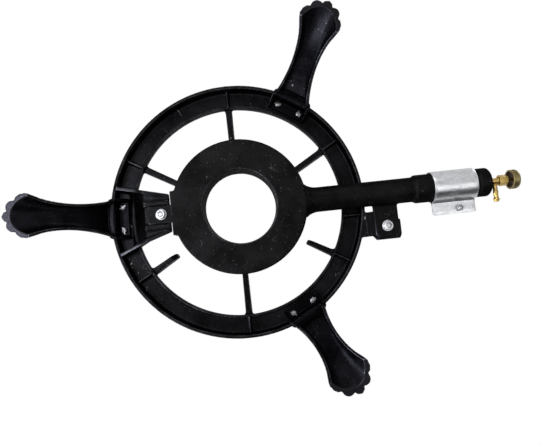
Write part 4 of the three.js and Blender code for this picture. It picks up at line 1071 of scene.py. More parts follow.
class GASBURNER_OT_burner_casting(bpy.types.Operator):
    """Casts the burner: head, mixing tube, bell, windowed cage, boss and lugs, all hollow"""
    bl_idname = "gas_burner.burner_casting"
    bl_label = "Burner Casting"

    def execute(self, context):
        s = context.scene.gas_burner
        b, p = s.burner, places()
        solids = self.outside(b, p)
        cores = self.cores(b, p, s.valve.shank + SEAT_GAP)
        for solid in solids:
            carve(solid, cores, keep_cutters=True)
        joined = bmesh.new()
        for solid in solids:
            joined.from_mesh(solid.data)
        for spare in (*solids, *cores):
            discard(spare)
        piece = object_from("burner_casting_iron", joined, outward=False)
        melt(piece, voxel=0.9 * MM, rounds=4, keep=0.5)
        carve(piece, [self.ports(b, p), self.screw_holes(b, p, s.fasteners)])
        finish_piece(piece, "root", finishes().burner_iron, ["burner_casting"],
                     DRILLED)
        return {"FINISHED"}

    def outside(self, b, p):
        """The overlapping solids of the casting's outside"""
        wall_inside = b.head_radius - b.head_wall
        head_inner = b.head_radius - b.head_edge
        head = turned("burner_head", [
            (p.hole_below, p.head_bottom), (head_inner, p.head_bottom),
            (b.head_radius, p.head_bottom + b.head_edge),
            (b.head_radius, p.head_top - b.head_edge),
            (head_inner, p.head_top), (p.hole_above, p.head_top)], matrix=p.on_head)
        half = b.rear_boss_width / 2
        flat = block("burner_flat", box_plan(-b.head_radius - b.rear_boss_rise,
                                             -p.hole_below - b.head_wall, -half, half),
                     p.head_bottom, p.head_top, p.on_head)
        half = b.rear_lug_width / 2
        rear = block("burner_rear_lug", box_plan(
            -p.rear_lug_reach, -wall_inside, b.rear_lug_shift - half, b.rear_lug_shift + half),
            p.lug_bottom, p.lug_top, p.on_head)
        corner = p.side_lug_reach - b.side_lug_corner
        side = block("burner_side_lug", [
            (p.side_lug_start, 0), (p.side_lug_end, 0), (p.side_lug_end, corner),
            (p.side_lug_end - b.side_lug_corner, p.side_lug_reach),
            (p.side_lug_start + b.side_lug_corner, p.side_lug_reach),
            (p.side_lug_start, corner)], p.lug_bottom, p.lug_top, p.on_head)
        neck = b.tube_radius + b.neck_flare
        flare = [(b.head_radius + b.neck_length * share,
                  neck - b.neck_flare * math.sin(share * math.pi / 2) ** NECK_POWER)
                 for share in (k / NECK_STEPS for k in range(NECK_STEPS + 1))]
        rim_start = p.rim_end - b.rim_width
        groove = p.boss_start - b.groove_width
        groove_radius = p.bell_radius - b.groove_depth
        pipe = turned("burner_pipe", along_tube([
            (wall_inside, 0), (wall_inside, neck), *flare, (p.bell_start, b.tube_radius),
            (p.bell_start + b.bell_taper, p.bell_radius), (rim_start, p.bell_radius),
            (rim_start, p.rim_radius), (p.rim_end, p.rim_radius), (p.rim_end, p.bell_radius),
            (groove, p.bell_radius), (groove + b.groove_depth, groove_radius),
            (p.boss_start - b.groove_depth, groove_radius), (p.boss_start, p.boss_radius),
            (p.boss_end - b.boss_chamfer, p.boss_radius),
            (p.boss_end, p.boss_radius - b.boss_chamfer), (p.boss_end, 0)]),
            TUBE_STEPS, p.on_tube)
        return head, flat, pipe, rear, side

    def cores(self, b, p, thread_radius):
        """Chamber, bores, hole and windows, as the sand cores leave them"""
        below, above = p.head_bottom - OVERRUN, p.head_top + OVERRUN
        hole = turned("burner_hole", [
            (0, below), (p.hole_below, below), (p.hole_below, p.head_bottom),
            (p.hole_above, p.head_top), (p.hole_above, above), (0, above)], matrix=p.on_head)
        chamber = turned("burner_chamber", box_plan(
            p.hole_below + b.head_wall, b.head_radius - b.head_wall,
            p.head_bottom + b.head_wall, p.head_top - b.head_wall), matrix=p.on_head)
        tube_bore = b.tube_radius - b.tube_wall
        bore_start = b.head_radius - b.head_wall - OVERRUN
        bore = turned("burner_bore", along_tube([
            (bore_start, 0), (bore_start, tube_bore), (p.bell_start, tube_bore),
            (p.bell_start + b.bell_taper, p.bell_bore), (p.boss_start, p.bell_bore),
            (p.boss_start, 0)]), BORE_STEPS, p.on_tube)
        thread_start, thread_end = p.boss_start - OVERRUN, p.boss_end + OVERRUN
        thread = turned("burner_thread", along_tube([
            (thread_start, 0), (thread_start, thread_radius), (thread_end, thread_radius),
            (thread_end, 0)]), SMALL_STEPS, p.on_tube)
        windows = bmesh.new()
        pitch = TURN / b.windows
        half = pitch * (1 - b.bar_share) / 2
        for k in range(b.windows):
            middle = k * pitch + math.pi / 2
            arc = [middle + half * (2 * step / WINDOW_STEPS - 1)
                   for step in range(WINDOW_STEPS + 1)]
            sector = [on_circle(p.bell_radius + OVERRUN, a) for a in arc]
            prism(windows, [*sector, on_circle(b.core_radius, middle)],
                  p.rim_end + b.window_margin, p.boss_start - b.window_margin,
                  lambda u, v, w: (w, u, v), at(*p.valve_axis))
        return hole, chamber, bore, thread, object_from("burner_windows", windows)

    def ports(self, b, p):
        """The two rows of flame ports, drilled in the head's top"""
        bm = bmesh.new()
        rows = ((b.outer_ports, b.head_radius - b.outer_port_inset),
                (b.inner_ports, p.hole_below + b.inner_port_inset))
        for number, circle in rows:
            for k in range(number):
                x, y = on_circle(circle, (k + 0.5) * TURN / number)
                self.drill(bm, p.on_head @ at(x, y, p.head_top - b.head_wall / 2),
                           b.port_radius, b.head_wall, PORT_STEPS)
        return object_from("burner_ports", bm)

    def screw_holes(self, b, p, fasteners):
        """The screw holes of the two lugs, drilled after casting"""
        bm = bmesh.new()
        for x, y in ((-p.rear_screw_reach, b.rear_lug_shift), p.side_screw.xy):
            self.drill(bm, p.on_head @ at(x, y, (p.lug_bottom + p.lug_top) / 2),
                       fasteners.lug_shank + SEAT_GAP, b.lug_thickness, HOLE_STEPS)
        return object_from("burner_screw_holes", bm)

    def drill(self, bm, place, radius, depth, steps):
        """A round cutter about a place, longer than the depth on both sides"""
        bmesh.ops.create_cone(bm, cap_ends=True, segments=steps, radius1=radius,
                              radius2=radius, depth=depth + 2 * OVERRUN, matrix=place)


# Where along a leg its waist is, and how its sizes and its sweep run from there to its ends
LEG_WAIST_SHARE = 0.43
LEG_FOOT_POWER = 2.3
LEG_ROOT_POWER = 1.75
LEG_SWEEP_POWER = 1.15
# Section of a leg: its squareness, and the flat arc of its foot
LEG_ROOT_SQUARENESS = 4
LEG_FOOT_SQUARENESS = 2
LEG_FOOT_ARC = math.radians(70)
LEG_ARC_SHARE = 0.35
# Scallops of a foot: reach at the sides, fading upward, and roundness
TOE_SIDE_SHARE = 0.35
TOE_FULL_SHARE = 0.06
TOE_END_SHARE = 0.15
TOE_POWER = 0.65
# Grid of a leg's skin, and how much closer its levels lie toward the foot
LEG_ACROSS = 120
LEG_LEVELS = 90
LEVEL_POWER = 1.3


def leg_flares(share, foot, waist, root):
    """A size that changes from the foot over the waist to the root"""
    if share < LEG_WAIST_SHARE:
        return mix(waist, foot, (1 - share / LEG_WAIST_SHARE) ** LEG_FOOT_POWER)
    return mix(waist, root, way(share, LEG_WAIST_SHARE, 1) ** LEG_ROOT_POWER)


def leg_depth(share, leg):
    """How far the leg's back stands out from its open edges"""
    if share < LEG_WAIST_SHARE:
        return leg_flares(share, leg.foot_depth, leg.waist_depth, 0)
    return mix(leg.waist_depth, leg.root_depth, way(share, LEG_WAIST_SHARE, 1))


def toe_fade(share):
    """How much of the scallops is left at a height"""
    t = way(share, TOE_FULL_SHARE, TOE_END_SHARE)
    return 1 - t * t * (3 - 2 * t)


def leg_point(round_share, share, leg, p, inset, back_inset, toes):
    """A point of the trough; round_share runs from one open edge to the other"""
    turn = -math.pi / 2 + math.pi * round_share
    power = 2 / mix(LEG_FOOT_SQUARENESS, LEG_ROOT_SQUARENESS, share)
    half = leg_flares(share, leg.foot_half, leg.waist_half, leg.root_half) - inset
    depth = leg_depth(share, leg) - back_inset
    edge = mix(p.leg_root, p.leg_foot, (1 - share) ** LEG_SWEEP_POWER)
    along = max(0, math.cos(turn)) ** power
    across = math.copysign(abs(math.sin(turn)) ** power, turn)
    arc_turn = LEG_FOOT_ARC * (2 * round_share - 1)
    arc_along = way(math.cos(arc_turn), math.cos(LEG_FOOT_ARC), 1)
    arc_across = math.sin(arc_turn) / math.sin(LEG_FOOT_ARC)
    flat = max(0, 1 - share / LEG_ARC_SHARE)
    along = mix(along, arc_along, flat)
    across = mix(across, arc_across, flat)
    reach = mix(TOE_SIDE_SHARE, 1, math.cos(turn))
    lobe = abs(math.cos(leg.toes * turn)) ** TOE_POWER
    toe = toes * reach * toe_fade(share) * lobe
    return Vector((edge + along * depth + toe * math.cos(turn),
                   across * half + toe * math.sin(turn), share * p.shelf_top))


def leg_skin(bm, leg, p, inset, foot_inset, root_inset, toes):
    """One skin of the trough: a grid laid on the leg's form; returns its border"""
    grid = bmesh.ops.create_grid(bm, x_segments=LEG_ACROSS, y_segments=LEG_LEVELS, size=1)
    verts = grid["verts"]
    for v in verts:
        round_share, level = (v.co.x + 1) / 2, (v.co.y + 1) / 2
        share = (level + level ** LEVEL_POWER) / 2
        v.co = leg_point(round_share, share, leg, p, inset, mix(foot_inset, root_inset, share),
                         toes)
    return [e for e in {e for v in verts for e in v.link_edges} if len(e.link_faces) == 1]


def arc_points(radius, half):
    """Points of an arc about Z on the +X side, from -half to half across"""
    end = math.asin(half / radius)
    turns = [end * (2 * k / ARC_STEPS - 1) for k in range(ARC_STEPS + 1)]
    return [on_circle(radius, a) for a in turns]


def skirt_plan(inner, half, radius):
    """Plan of a block that ends in an arc just inside the skirt"""
    return [(inner, -half), *arc_points(radius, half), (inner, half)]


def leg_solids(bm, leg, ring, p):
    """Trough, shelf, cross wall and hook of a leg drawn on +X"""
    outer = leg_skin(bm, leg, p, 0, 0, 0, leg.toe_height)
    inner = leg_skin(bm, leg, p, leg.wall, leg.foot_wall, leg.wall, 0)
    bmesh.ops.bridge_loops(bm, edges=outer + inner)
    arc = [leg_point(k / ARC_STEPS, 1, leg, p, 0, 0, 0) for k in range(ARC_STEPS + 1)]
    widen = p.ear_half / leg.root_half
    prism(bm, [(v.x, v.y * widen) for v in arc], p.shelf_bottom, p.shelf_top)
    prism(bm, skirt_plan(p.leg_pad_inner, p.ear_half, p.hook_outer), p.pad_bottom, p.pad_top)
    prism(bm, skirt_plan(p.leg_root, p.ear_half, p.hook_outer), p.shelf_bottom, p.pad_top)
    wall = [*arc_points(ring.radius - leg.cross_wall_inset, leg.root_half),
            *reversed(arc_points(ring.radius - leg.cross_wall_depth, leg.root_half))]
    prism(bm, wall, p.shelf_bottom - leg.cross_wall_drop, p.shelf_bottom + LAP)
    ear_outer = math.sqrt(p.hook_outer ** 2 - p.ear_half ** 2)
    ear = [(p.leg_pad_inner, p.pad_top), (p.leg_pad_inner, p.pad_bottom - leg.pad),
           (p.leg_root, p.shelf_bottom), (ear_outer, p.shelf_bottom), (ear_outer, p.pad_top)]
    for side in (-1, 1):
        near, far = sorted((side * (p.ear_half - leg.hook_wall), side * p.ear_half))
        prism(bm, ear, near, far, lift_side)


class GASBURNER_OT_legs(bpy.types.Operator):
    """Casts the three legs with their scalloped feet"""
    bl_idname = "gas_burner.legs"
    bl_label = "Legs"

    def execute(self, context):
        s = context.scene.gas_burner
        p = places()
        bm = bmesh.new()
        leg_solids(bm, s.leg, s.ring, p)
        pattern = object_from("leg_pattern", bm)
        melt(pattern, voxel=0.68 * MM, rounds=5, keep=0.6)
        for side, degrees in LEG_ANGLES.items():
            piece = bpy.data.objects.new(f"leg_{side}_casting", pattern.data.copy())
            context.scene.collection.objects.link(piece)
            piece.data.transform(p.on_ring @ about_z(math.radians(degrees) + s.leg.turn))
            finish_piece(piece, "root", finishes().leg_iron, [f"leg_{side}"])
        discard(pattern)
        return {"FINISHED"}


# Shares of a thread's pitch where the top of its ridge starts and ends
RIDGE_START = 0.35
RIDGE_END = 0.6
# Heads: points along the rounding, a dome's roundness and straight share, the rounding of a
# flat head; and the share of a shank that has no thread
HEAD_STEPS = 10
DOME_POWER = 0.75
DOME_BASE = 0.28
FLAT_HEAD_EDGE = 1.2
PLAIN_SHANK = 0.45
# Nuts: fall of their corners, flat share of their ends, and reach of the cutter
NUT_FALL = 0.62
NUT_FLAT = 0.96
NUT_REACH = 1.02
# How far each screw and nut is turned, in radians: they stand as they came tight
LEG_SCREW_TURN = 1.3
LEG_NUT_TURN = 0.7
REAR_LUG_TURN = 1.1
TUBE_LUG_TURN = 0.5
CLAMP_SCREW_TURN = 0.9
CLAMP_NUT_TURN = 0.35


def threaded_outline(radius, start, end, pitch, depth):
    """(radius, height) points of a thread's ridges between two heights"""
    ridges = max(1, int((end - start) / pitch))
    step = (end - start) / ridges
    points = []
    for k in range(ridges):
        base = start + k * step
        points += [(radius - depth, base), (radius, base + step * RIDGE_START),
                   (radius, base + step * RIDGE_END)]
    return [*points, (radius - depth, end)]


def head_turns(parts):
    """Turns in radians along a head's rounding, a quarter circle in equal parts"""
    return [k * math.pi / 2 / parts for k in range(HEAD_STEPS)]


def pan_screw(name, place, seat, up, shank, head, head_height, total, turn, socket=False):
    """A screw with a domed head and a slot, or with a flatter head and a hexagonal socket; up
    is 1 when its end points up"""
    f = bpy.context.scene.gas_burner.fasteners
    if socket:
        edge = f.socket_head_edge
        dome = [(head - edge * (1 - math.cos(a)),
                 -head_height + edge * (FLAT_HEAD_EDGE - math.sin(a)))
                for a in head_turns(HEAD_STEPS - 1)]
    else:
        dome = [(head * math.cos(a) ** DOME_POWER,
                 -head_height * mix(DOME_BASE, 1, math.sin(a))) for a in head_turns(HEAD_STEPS)]
    thread = threaded_outline(shank, total * PLAIN_SHANK, total - f.thread_run_out,
                              f.thread_pitch, f.thread_depth)
    piece = turned(name, [
        (0, -head_height), *reversed(dome), (head, -f.head_seat), (head - f.head_chamfer, 0),
        (shank, 0), *thread, (shank - f.end_chamfer, total), (0, total)], SCREW_STEPS)
    drive = bmesh.new()
    if socket:
        hexagon(drive, f.socket, -head_height - OVERRUN, -head_height + f.socket_depth)
        end = max(drive.faces, key=lambda face: face.calc_center_median().z)
        bmesh.ops.inset_region(drive, faces=[end], thickness=f.socket_rim,
                               depth=-f.socket_fall)
    else:
        size = Matrix.Diagonal((3 * head, f.slot_width, 2 * f.slot_depth, 1))
        bmesh.ops.create_cube(drive, size=1, matrix=at(0, 0, -head_height, size))
    carve(piece, [object_from(name + "_drive", drive)])
    facing = Matrix.Rotation(0 if up > 0 else math.pi, 4, "X")
    piece.data.transform(at(place.x, place.y, seat, facing @ about_z(turn)))
    return piece


def hex_nut(name, across, height, bore, matrix):
    """A hexagonal nut with chamfered corners and a bore"""
    f = bpy.context.scene.gas_burner.fasteners
    bm = bmesh.new()
    hexagon(bm, across, 0, height)
    piece = object_from(name, bm)
    corner, inside = across / math.sqrt(3), across / 2
    fall = (corner - inside) * NUT_FALL
    flat, reach = inside * NUT_FLAT, corner * NUT_REACH
    carve(piece, [turned(name + "_chamfer", [
        (0, 0), (flat, 0), (reach, fall), (reach, height - fall), (flat, height),
        (0, height)], SMALL_STEPS)], operation="INTERSECT")
    mouth, below, above = bore + f.nut_bevel, -OVERRUN, height + OVERRUN
    carve(piece, [turned(name + "_bore", [
        (0, below), (mouth, below), (mouth, 0), (bore, f.nut_bevel),
        (bore, height - f.nut_bevel), (mouth, height), (mouth, above), (0, above)],
        FINE_BORE_STEPS)])
    soften(piece, f.edge)
    piece.data.transform(matrix)
    return piece


class GASBURNER_OT_fasteners(bpy.types.Operator):
    """Turns the screws, nuts and washers of the legs and the lugs"""
    bl_idname = "gas_burner.fasteners"
    bl_label = "Screws and Nuts"

    def execute(self, context):
        s = context.scene.gas_burner
        f, p, look = s.fasteners, places(), finishes()
        for side, degrees in LEG_ANGLES.items():
            turn = math.radians(degrees) + s.leg.turn
            for k, half in enumerate((-p.leg_screw_half, p.leg_screw_half)):
                place = p.axis + about_z(turn, 3) @ Vector((p.leg_screw_circle, half, 0))
                self.leg_pair(f"leg_{side}", k + 1, place, f, p, look, turn)
        rear = p.head_axis + Vector((-p.rear_screw_reach, s.burner.rear_lug_shift, 0))
        nut_seat = p.seat + s.ring.platform_thickness + SEAT_GAP
        self.lug_set("rear_lug", rear, f, p, nut_seat, look.zinc, REAR_LUG_TURN)
        # The tube lug's set takes the brighter copy of the zinc: painted light
        self.lug_set("tube_lug", p.head_axis + p.side_screw, f, p, nut_seat, look.fresh_zinc,
                     TUBE_LUG_TURN)
        return {"FINISHED"}

    def leg_pair(self, name, number, place, f, p, look, turn):
        """One of a leg's two screws, with its nut on top of the ring"""
        seat = p.pad_bottom - SEAT_GAP
        nut_seat = p.ring_top + SEAT_GAP
        total = nut_seat + f.leg_nut_height + f.end_length - seat
        screw = pan_screw(f"{name}_pan_screw_{number}", place, seat, 1, f.leg_shank, f.leg_head,
                          f.leg_head_height, total, turn + number * LEG_SCREW_TURN)
        # The leg screw sits in the ring's channel and takes the darker zinc copy: painted shade
        finish_piece(screw, "root", look.dull_zinc, [f"{name}_screw_{number}"], CRISP)
        nut = hex_nut(f"{name}_hex_nut_{number}", f.leg_nut, f.leg_nut_height, f.leg_shank,
                      at(place.x, place.y, nut_seat, about_z(number * LEG_NUT_TURN + turn)))
        finish_piece(nut, "root", look.zinc, [f"{name}_nut_{number}"], CRISP)

    def lug_set(self, name, place, f, p, nut_seat, zinc, turn):
        """Screw, washer and nut of one of the burner's lugs"""
        washer_bottom = p.lug_bottom - SEAT_GAP - f.washer_thickness
        seat = washer_bottom - SEAT_GAP
        total = nut_seat + f.lug_nut_height + f.end_length - seat
        screw = pan_screw(f"{name}_pan_screw", place, seat, 1, f.lug_shank, f.lug_head,
                          f.lug_head_height, total, turn, socket=True)
        finish_piece(screw, "root", zinc, [f"{name}_screw"], CRISP)
        washer = turned(f"{name}_flat_washer", box_plan(
            f.lug_shank + SEAT_GAP, f.washer, 0, f.washer_thickness), WASHER_STEPS)
        soften(washer, f.washer_edge, 3)
        washer.data.transform(at(place.x, place.y, washer_bottom))
        finish_piece(washer, "root", zinc, [f"{name}_washer"], CRISP)
        nut = hex_nut(f"{name}_hex_nut", f.lug_nut, f.lug_nut_height, f.lug_shank,
                      at(place.x, place.y, nut_seat, about_z(turn)))
        finish_piece(nut, "root", zinc, [f"{name}_nut"], CRISP)


# Steps of the sleeve: along the tube, round it, in a bend and on a corner
SLEEVE_COLUMNS = 12
SLEEVE_STEPS = 44
BEND_STEPS = 5
CORNER_STEPS = 5
# Spacing of points across a flange, and the angle past which an edge is eased
FLANGE_STEP = 5 * MM
SHEET_EDGE_DEGREES = 50


class GASBURNER_OT_air_shutter(bpy.types.Operator):
    """Bends the sheet sleeve of the air shutter and fits its clamp screw"""
    bl_idname = "gas_burner.air_shutter"
    bl_label = "Air Shutter"

    def execute(self, context):
        s = context.scene.gas_burner
        sleeve, f, p = s.shutter, s.fasteners, places()
        bm = bmesh.new()
        path = self.half_path(sleeve, p, sleeve.flange_gap / 2)
        track = [*((y, -z) for y, z in path), *((y, z) for y, z in reversed(path[:-1]))]
        start = [bm.verts.new((p.shutter_start, y, z)) for y, z in track]
        edges = [bm.edges.new(pair) for pair in zip(start, start[1:])]
        step = (p.shutter_end - p.shutter_start) / SLEEVE_COLUMNS
        for _ in range(SLEEVE_COLUMNS):
            result = bmesh.ops.extrude_edge_only(bm, edges=edges)
            moved = {v for v in result["geom"] if isinstance(v, bmesh.types.BMVert)}
            edges = [e for e in result["geom"] if isinstance(e, bmesh.types.BMEdge)
                     and moved.issuperset(e.verts)]
            bmesh.ops.translate(bm, verts=list(moved), vec=(step, 0, 0))
        reach = max(v.co.y for v in bm.verts)
        ends = ((p.shutter_start, sleeve.flange_corner), (p.shutter_end, sleeve.end_corner))
        for x, size in ends:
            corner = [v for v in bm.verts
                      if max(abs(v.co.x - x), abs(v.co.y - reach)) < SAME_PLACE / 10]
            bmesh.ops.bevel(bm, geom=corner, offset=size, offset_type="OFFSET",
                            segments=CORNER_STEPS, profile=0.5, affect="VERTICES", material=-1)
        bmesh.ops.translate(bm, verts=bm.verts, vec=p.valve_axis)
        bmesh.ops.recalc_face_normals(bm, faces=bm.faces)
        piece = object_from("air_shutter_sleeve", bm, outward=False)
        wall = piece.modifiers.new("Sheet", "SOLIDIFY")
        wall.thickness = sleeve.wall
        wall.offset = self.outward_offset(piece)
        wall.use_even_offset = True
        settle(piece)
        soften(piece, sleeve.edge, degrees=SHEET_EDGE_DEGREES)
        finish_piece(piece, "shutter", finishes().sheet, ["air_shutter"],
                     SHEET_CRISP)
        self.clamp(sleeve, f, p)
        return {"FINISHED"}

    def half_path(self, sleeve, p, face_gap):
        """(y, z) points from a flange's edge round to the far side of the sleeve"""
        radius = p.shutter_bore
        reach = sleeve.bend + sleeve.wall
        centre_z = face_gap + reach
        centre_y = math.sqrt((radius + reach) ** 2 - centre_z ** 2)
        contact = math.atan2(centre_z, centre_y)
        points = [(p.flange_reach - k * FLANGE_STEP, face_gap) for k in range(3)]
        for k in range(BEND_STEPS + 1):
            turn = mix(-math.pi / 2, -(math.pi - contact), k / BEND_STEPS)
            points.append((centre_y + reach * math.cos(turn), centre_z + reach * math.sin(turn)))
        for k in range(1, SLEEVE_STEPS + 1):
            points.append(on_circle(radius, mix(contact, math.pi, k / SLEEVE_STEPS)))
        return points

    def outward_offset(self, piece):
        """Solidify's offset that puts the wall outside the bore, whichever way faces point"""
        face = min(piece.data.polygons, key=lambda f: f.center.y)
        return 1 if face.normal.y < 0 else -1

    def clamp(self, sleeve, f, p):
        """Screw and nut that pinch the two flanges"""
        zinc = finishes().zinc
        place = p.valve_axis + p.clamp
        stack = sleeve.flange_gap / 2 + sleeve.wall + SEAT_GAP
        top = place.z + stack
        nut_bottom = place.z - stack - f.clamp_nut_height
        total = top - nut_bottom + f.end_length
        screw = pan_screw("air_shutter_clamp_screw", place, top, -1, f.clamp_shank, f.clamp_head,
                          f.clamp_head_height, total, CLAMP_SCREW_TURN)
        finish_piece(screw, "shutter", zinc, ["air_shutter_screw"], CRISP)
        nut = hex_nut("air_shutter_clamp_nut", f.clamp_nut, f.clamp_nut_height, f.clamp_shank,
                      at(place.x, place.y, nut_bottom, about_z(CLAMP_NUT_TURN)))
        finish_piece(nut, "shutter", zinc, ["air_shutter_nut"], CRISP)


# A barb's ridge: shares of its peak and of its length
BARB_RIDGE = ((0.97, 0.3), (1, 0.45), (0.95, 0.62))


class GASBURNER_OT_valve(bpy.types.Operator):
    """Turns the needle valve's body, hose barb and gland nut; finishes injector, spindle, packing
    """
    bl_idname = "gas_burner.valve"
    bl_label = "Needle Valve"

    def execute(self, context):
        v, p = context.scene.gas_burner.valve, places()
        look = finishes()
        self.body(v, p, look)
        self.barb(v, p, look)
        self.gland(v, p, look)
        for node, slot in (("injector", look.brass), ("valve_spindle", look.brass),
                           ("gland_packing", look.packing)):
            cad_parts[node].data.materials.clear()
            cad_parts[node].data.materials.append(slot)
        return {"FINISHED"}

    def body(self, v, p, look):
        """The valve's body, with a collar at the boss and a ring at its end"""
        shank_end, seat = p.boss_end - v.shank_length, p.boss_end - v.seat_inset
        foot, thread_end = p.boss_end + SEAT_GAP, p.body_end + v.gland_thread_length
        collar_end, ring_start = p.boss_end + v.collar_end, p.body_end - v.ring_width
        collar, ring = v.body + v.collar_rise, v.body + v.ring_rise
        piece = turned("valve_body_turned", along_tube([
            (shank_end, v.throat), (shank_end, v.shank), (foot, v.shank), (foot, collar),
            (collar_end, collar), (collar_end + v.collar_chamfer, v.body),
            (ring_start - v.ring_chamfer, v.body), (ring_start, ring), (p.body_end, ring),
            (p.body_end, v.gland_thread), (thread_end, v.gland_thread), (thread_end, v.bore),
            (seat, v.bore), (seat, v.throat)]), SMALL_STEPS, p.on_tube)
        soften(piece, v.body_edge)
        finish_piece(piece, "root", look.brass, ["valve_body"], CRISP)

    def barb(self, v, p, look):
        """The hose barb that stands on the body's side"""
        root = v.body + SEAT_GAP
        ridges = []
        for start, peak in ((v.first_bulge, (v.barb + v.bulge) / 2), (v.last_bulge, v.bulge)):
            ridges += [(v.barb, start), *((peak * height, start + v.bulge_length * share)
                                          for height, share in BARB_RIDGE),
                       (v.barb, start + v.bulge_length)]
        foot = root - v.foot_sink
        piece = turned("hose_barb_turned", [
            (v.barb_bore, foot), (v.barb + v.foot_rise, foot),
            (v.barb + v.foot_waist, root + v.foot_length / 2),
            (v.barb, root + v.foot_length), *ridges, (v.barb, v.barb_reach - v.barb_chamfer),
            (v.barb - v.barb_chamfer, v.barb_reach), (v.barb_bore, v.barb_reach)],
            FINE_BORE_STEPS, at(p.barb_place, 0, 0) @ at(*p.valve_axis, PLUS_Y))
        soften(piece, v.barb_edge)
        finish_piece(piece, "root", look.brass, ["hose_barb"], CRISP)

    def gland(self, v, p, look):
        """The gland nut, with a pocket for the thread and the packing"""
        nut = hex_nut("gland_nut_hex", v.gland_nut, v.gland_nut_length, v.spindle + SEAT_GAP,
                      at(p.gland_nut_start, 0, 0) @ p.on_tube)
        radius = v.gland_thread + SEAT_GAP
        mouth = p.gland_nut_start - OVERRUN
        end = p.gland_nut_start + v.gland_thread_length + v.packing_room + SEAT_GAP
        pocket = along_tube([(mouth, 0), (mouth, radius), (end, radius), (end, 0)])
        carve(nut, [turned("gland_pocket", pocket, FINE_BORE_STEPS, p.on_tube)])
        finish_piece(nut, "root", look.brass, ["gland_nut"], CRISP)


# Points along the knob's crown and its knurled band
CROWN_STEPS = 6
BAND_STEPS = 8
# Knurling: waves along the band, and the steepness and the start of its fade at the ends
KNURL_WAVES = 4
KNURL_FADE = 6
KNURL_START = 0.02
# How far outside the cup's wall a face counts as inside
CUP_LAP = 0.05 * MM


class GASBURNER_OT_knob(bpy.types.Operator):
    """Turns and knurls the control knob and fits its nut"""
    bl_idname = "gas_burner.knob"
    bl_label = "Control Knob"

    def execute(self, context):
        s = context.scene.gas_burner
        k, p, look = s.knob, places(), finishes()
        bore = s.valve.spindle + SEAT_GAP
        cup_radius = k.radius - k.wall
        recess = p.knob_end - k.recess
        cup_end = recess - k.floor
        recess_radius = k.nut / math.sqrt(3) + k.nut_room
        knurl_start, knurl_end = p.knob_start + k.rim, p.knob_end - k.crown
        crown = [(mix(knurl_end, p.knob_end, math.sin(a)),
                  mix(k.radius - k.crown, k.radius - k.knurl_depth, math.cos(a)))
                 for a in (step * math.pi / 2 / CROWN_STEPS
                           for step in range(1, CROWN_STEPS + 1))]
        band = [(mix(knurl_start, knurl_end, step / BAND_STEPS), k.radius - k.knurl_depth / 2)
                for step in range(BAND_STEPS + 1)]
        bm = bmesh.new()
        lathe(bm, along_tube([
            (cup_end, bore), (cup_end, cup_radius - k.cup_corner),
            (cup_end - k.cup_corner, cup_radius), (p.knob_start, cup_radius),
            (p.knob_start, k.radius - k.lip_edge), (p.knob_start + k.lip_edge, k.radius),
            (knurl_start - k.knurl_gap, k.radius), *band, *crown, (p.knob_end, recess_radius),
            (recess, recess_radius), (recess, bore)]), 4 * k.knurls)
        self.knurl(bm, k, knurl_start, knurl_end)
        bmesh.ops.recalc_face_normals(bm, faces=bm.faces)
        # Faces inside the cup take the second, near black finish: painted shade of the hollow
        for face in bm.faces:
            middle = face.calc_center_median()
            if middle.xy.length < cup_radius + CUP_LAP and middle.z < cup_end + SAME_PLACE:
                face.material_index = 1
        bmesh.ops.transform(bm, matrix=p.on_tube, verts=bm.verts)
        piece = object_from("control_knob_knurled", bm, outward=False)
        piece.data.materials.append(look.dull_brass)
        piece.data.materials.append(look.cup)
        finish_piece(piece, "knob", look.dull_brass, ["control_knob"], CRISP)
        nut = hex_nut("knob_hex_nut", k.nut, k.recess - 2 * SEAT_GAP, bore,
                      at(recess + SEAT_GAP, 0, 0) @ p.on_tube)
        finish_piece(nut, "knob", look.zinc, ["knob_nut"], CRISP)
        return {"FINISHED"}

    def knurl(self, bm, k, start, end):
        """Moves the points of the band in and out, into crossed ridges"""
        for vert in bm.verts:
            radius = vert.co.xy.length
            inside_band = start - SAME_PLACE < vert.co.z < end + SAME_PLACE
            if inside_band and radius > k.radius - k.knurl_depth:
                turn = math.atan2(vert.co.y, vert.co.x)
                level = (vert.co.z - start) / (end - start)
                wave = math.cos(k.knurls * turn) * math.cos(TURN * KNURL_WAVES * level)
                fade = min(1, KNURL_FADE * (KNURL_START + min(level, 1 - level)))
                grown = k.radius + k.knurl_depth / 2 * (wave * fade - 1)
                vert.co.xy *= grown / radius


COOL = (0.9, 0.93, 1.0)
PLAIN = (1, 1, 1)
# Each lamp's name, place, size in metres, brightness and tint; all of them face LAMP_TARGET
LAMPS = (
    ("low_left", (-0.55, -0.08, -0.7), (0.18, 0.36), 19, COOL),
    ("low_middle", (-0.085, -0.085, -0.72), (0.38, 0.38), 1.9, PLAIN),
    ("low_lug", (-0.34, -0.1, -0.72), (0.28, 0.16), 8, PLAIN),
    ("low_front", (-0.1, -0.78, -0.5), (0.8, 0.3), 5, PLAIN),
    ("low_tab", (0.3, 0.01, -0.72), (0.14, 0.16), 2.6, PLAIN),
    ("low_right", (0.53, 0.25, -0.68), (0.36, 0.3), 2.1, PLAIN),
    ("side_back_left", (-0.62, 0.45, -0.2), (0.8, 0.3), 12, COOL),
    ("side_left_low", (-0.85, 0.16, -0.08), (0.2, 0.3), 14, COOL),
    ("side_left", (-1.05, -0.25, 0.4), (0.5, 0.5), 11, COOL),
    ("top_front", (1.2, -0.72, 0.55), (0.7, 0.5), 6, PLAIN),
    ("top_back", (-0.85, 0.85, 0.82), (0.7, 0.5), 6.5, PLAIN),
)
LAMP_TARGET = Vector((0, 0, 0.1))
# Place, target and size of the dark card
CARD_PLACE = (0.46, 0.56, -0.2)
CARD_TARGET = Vector((0.19, 0, 0.08))
CARD_SIZE = (0.7, 0.6)


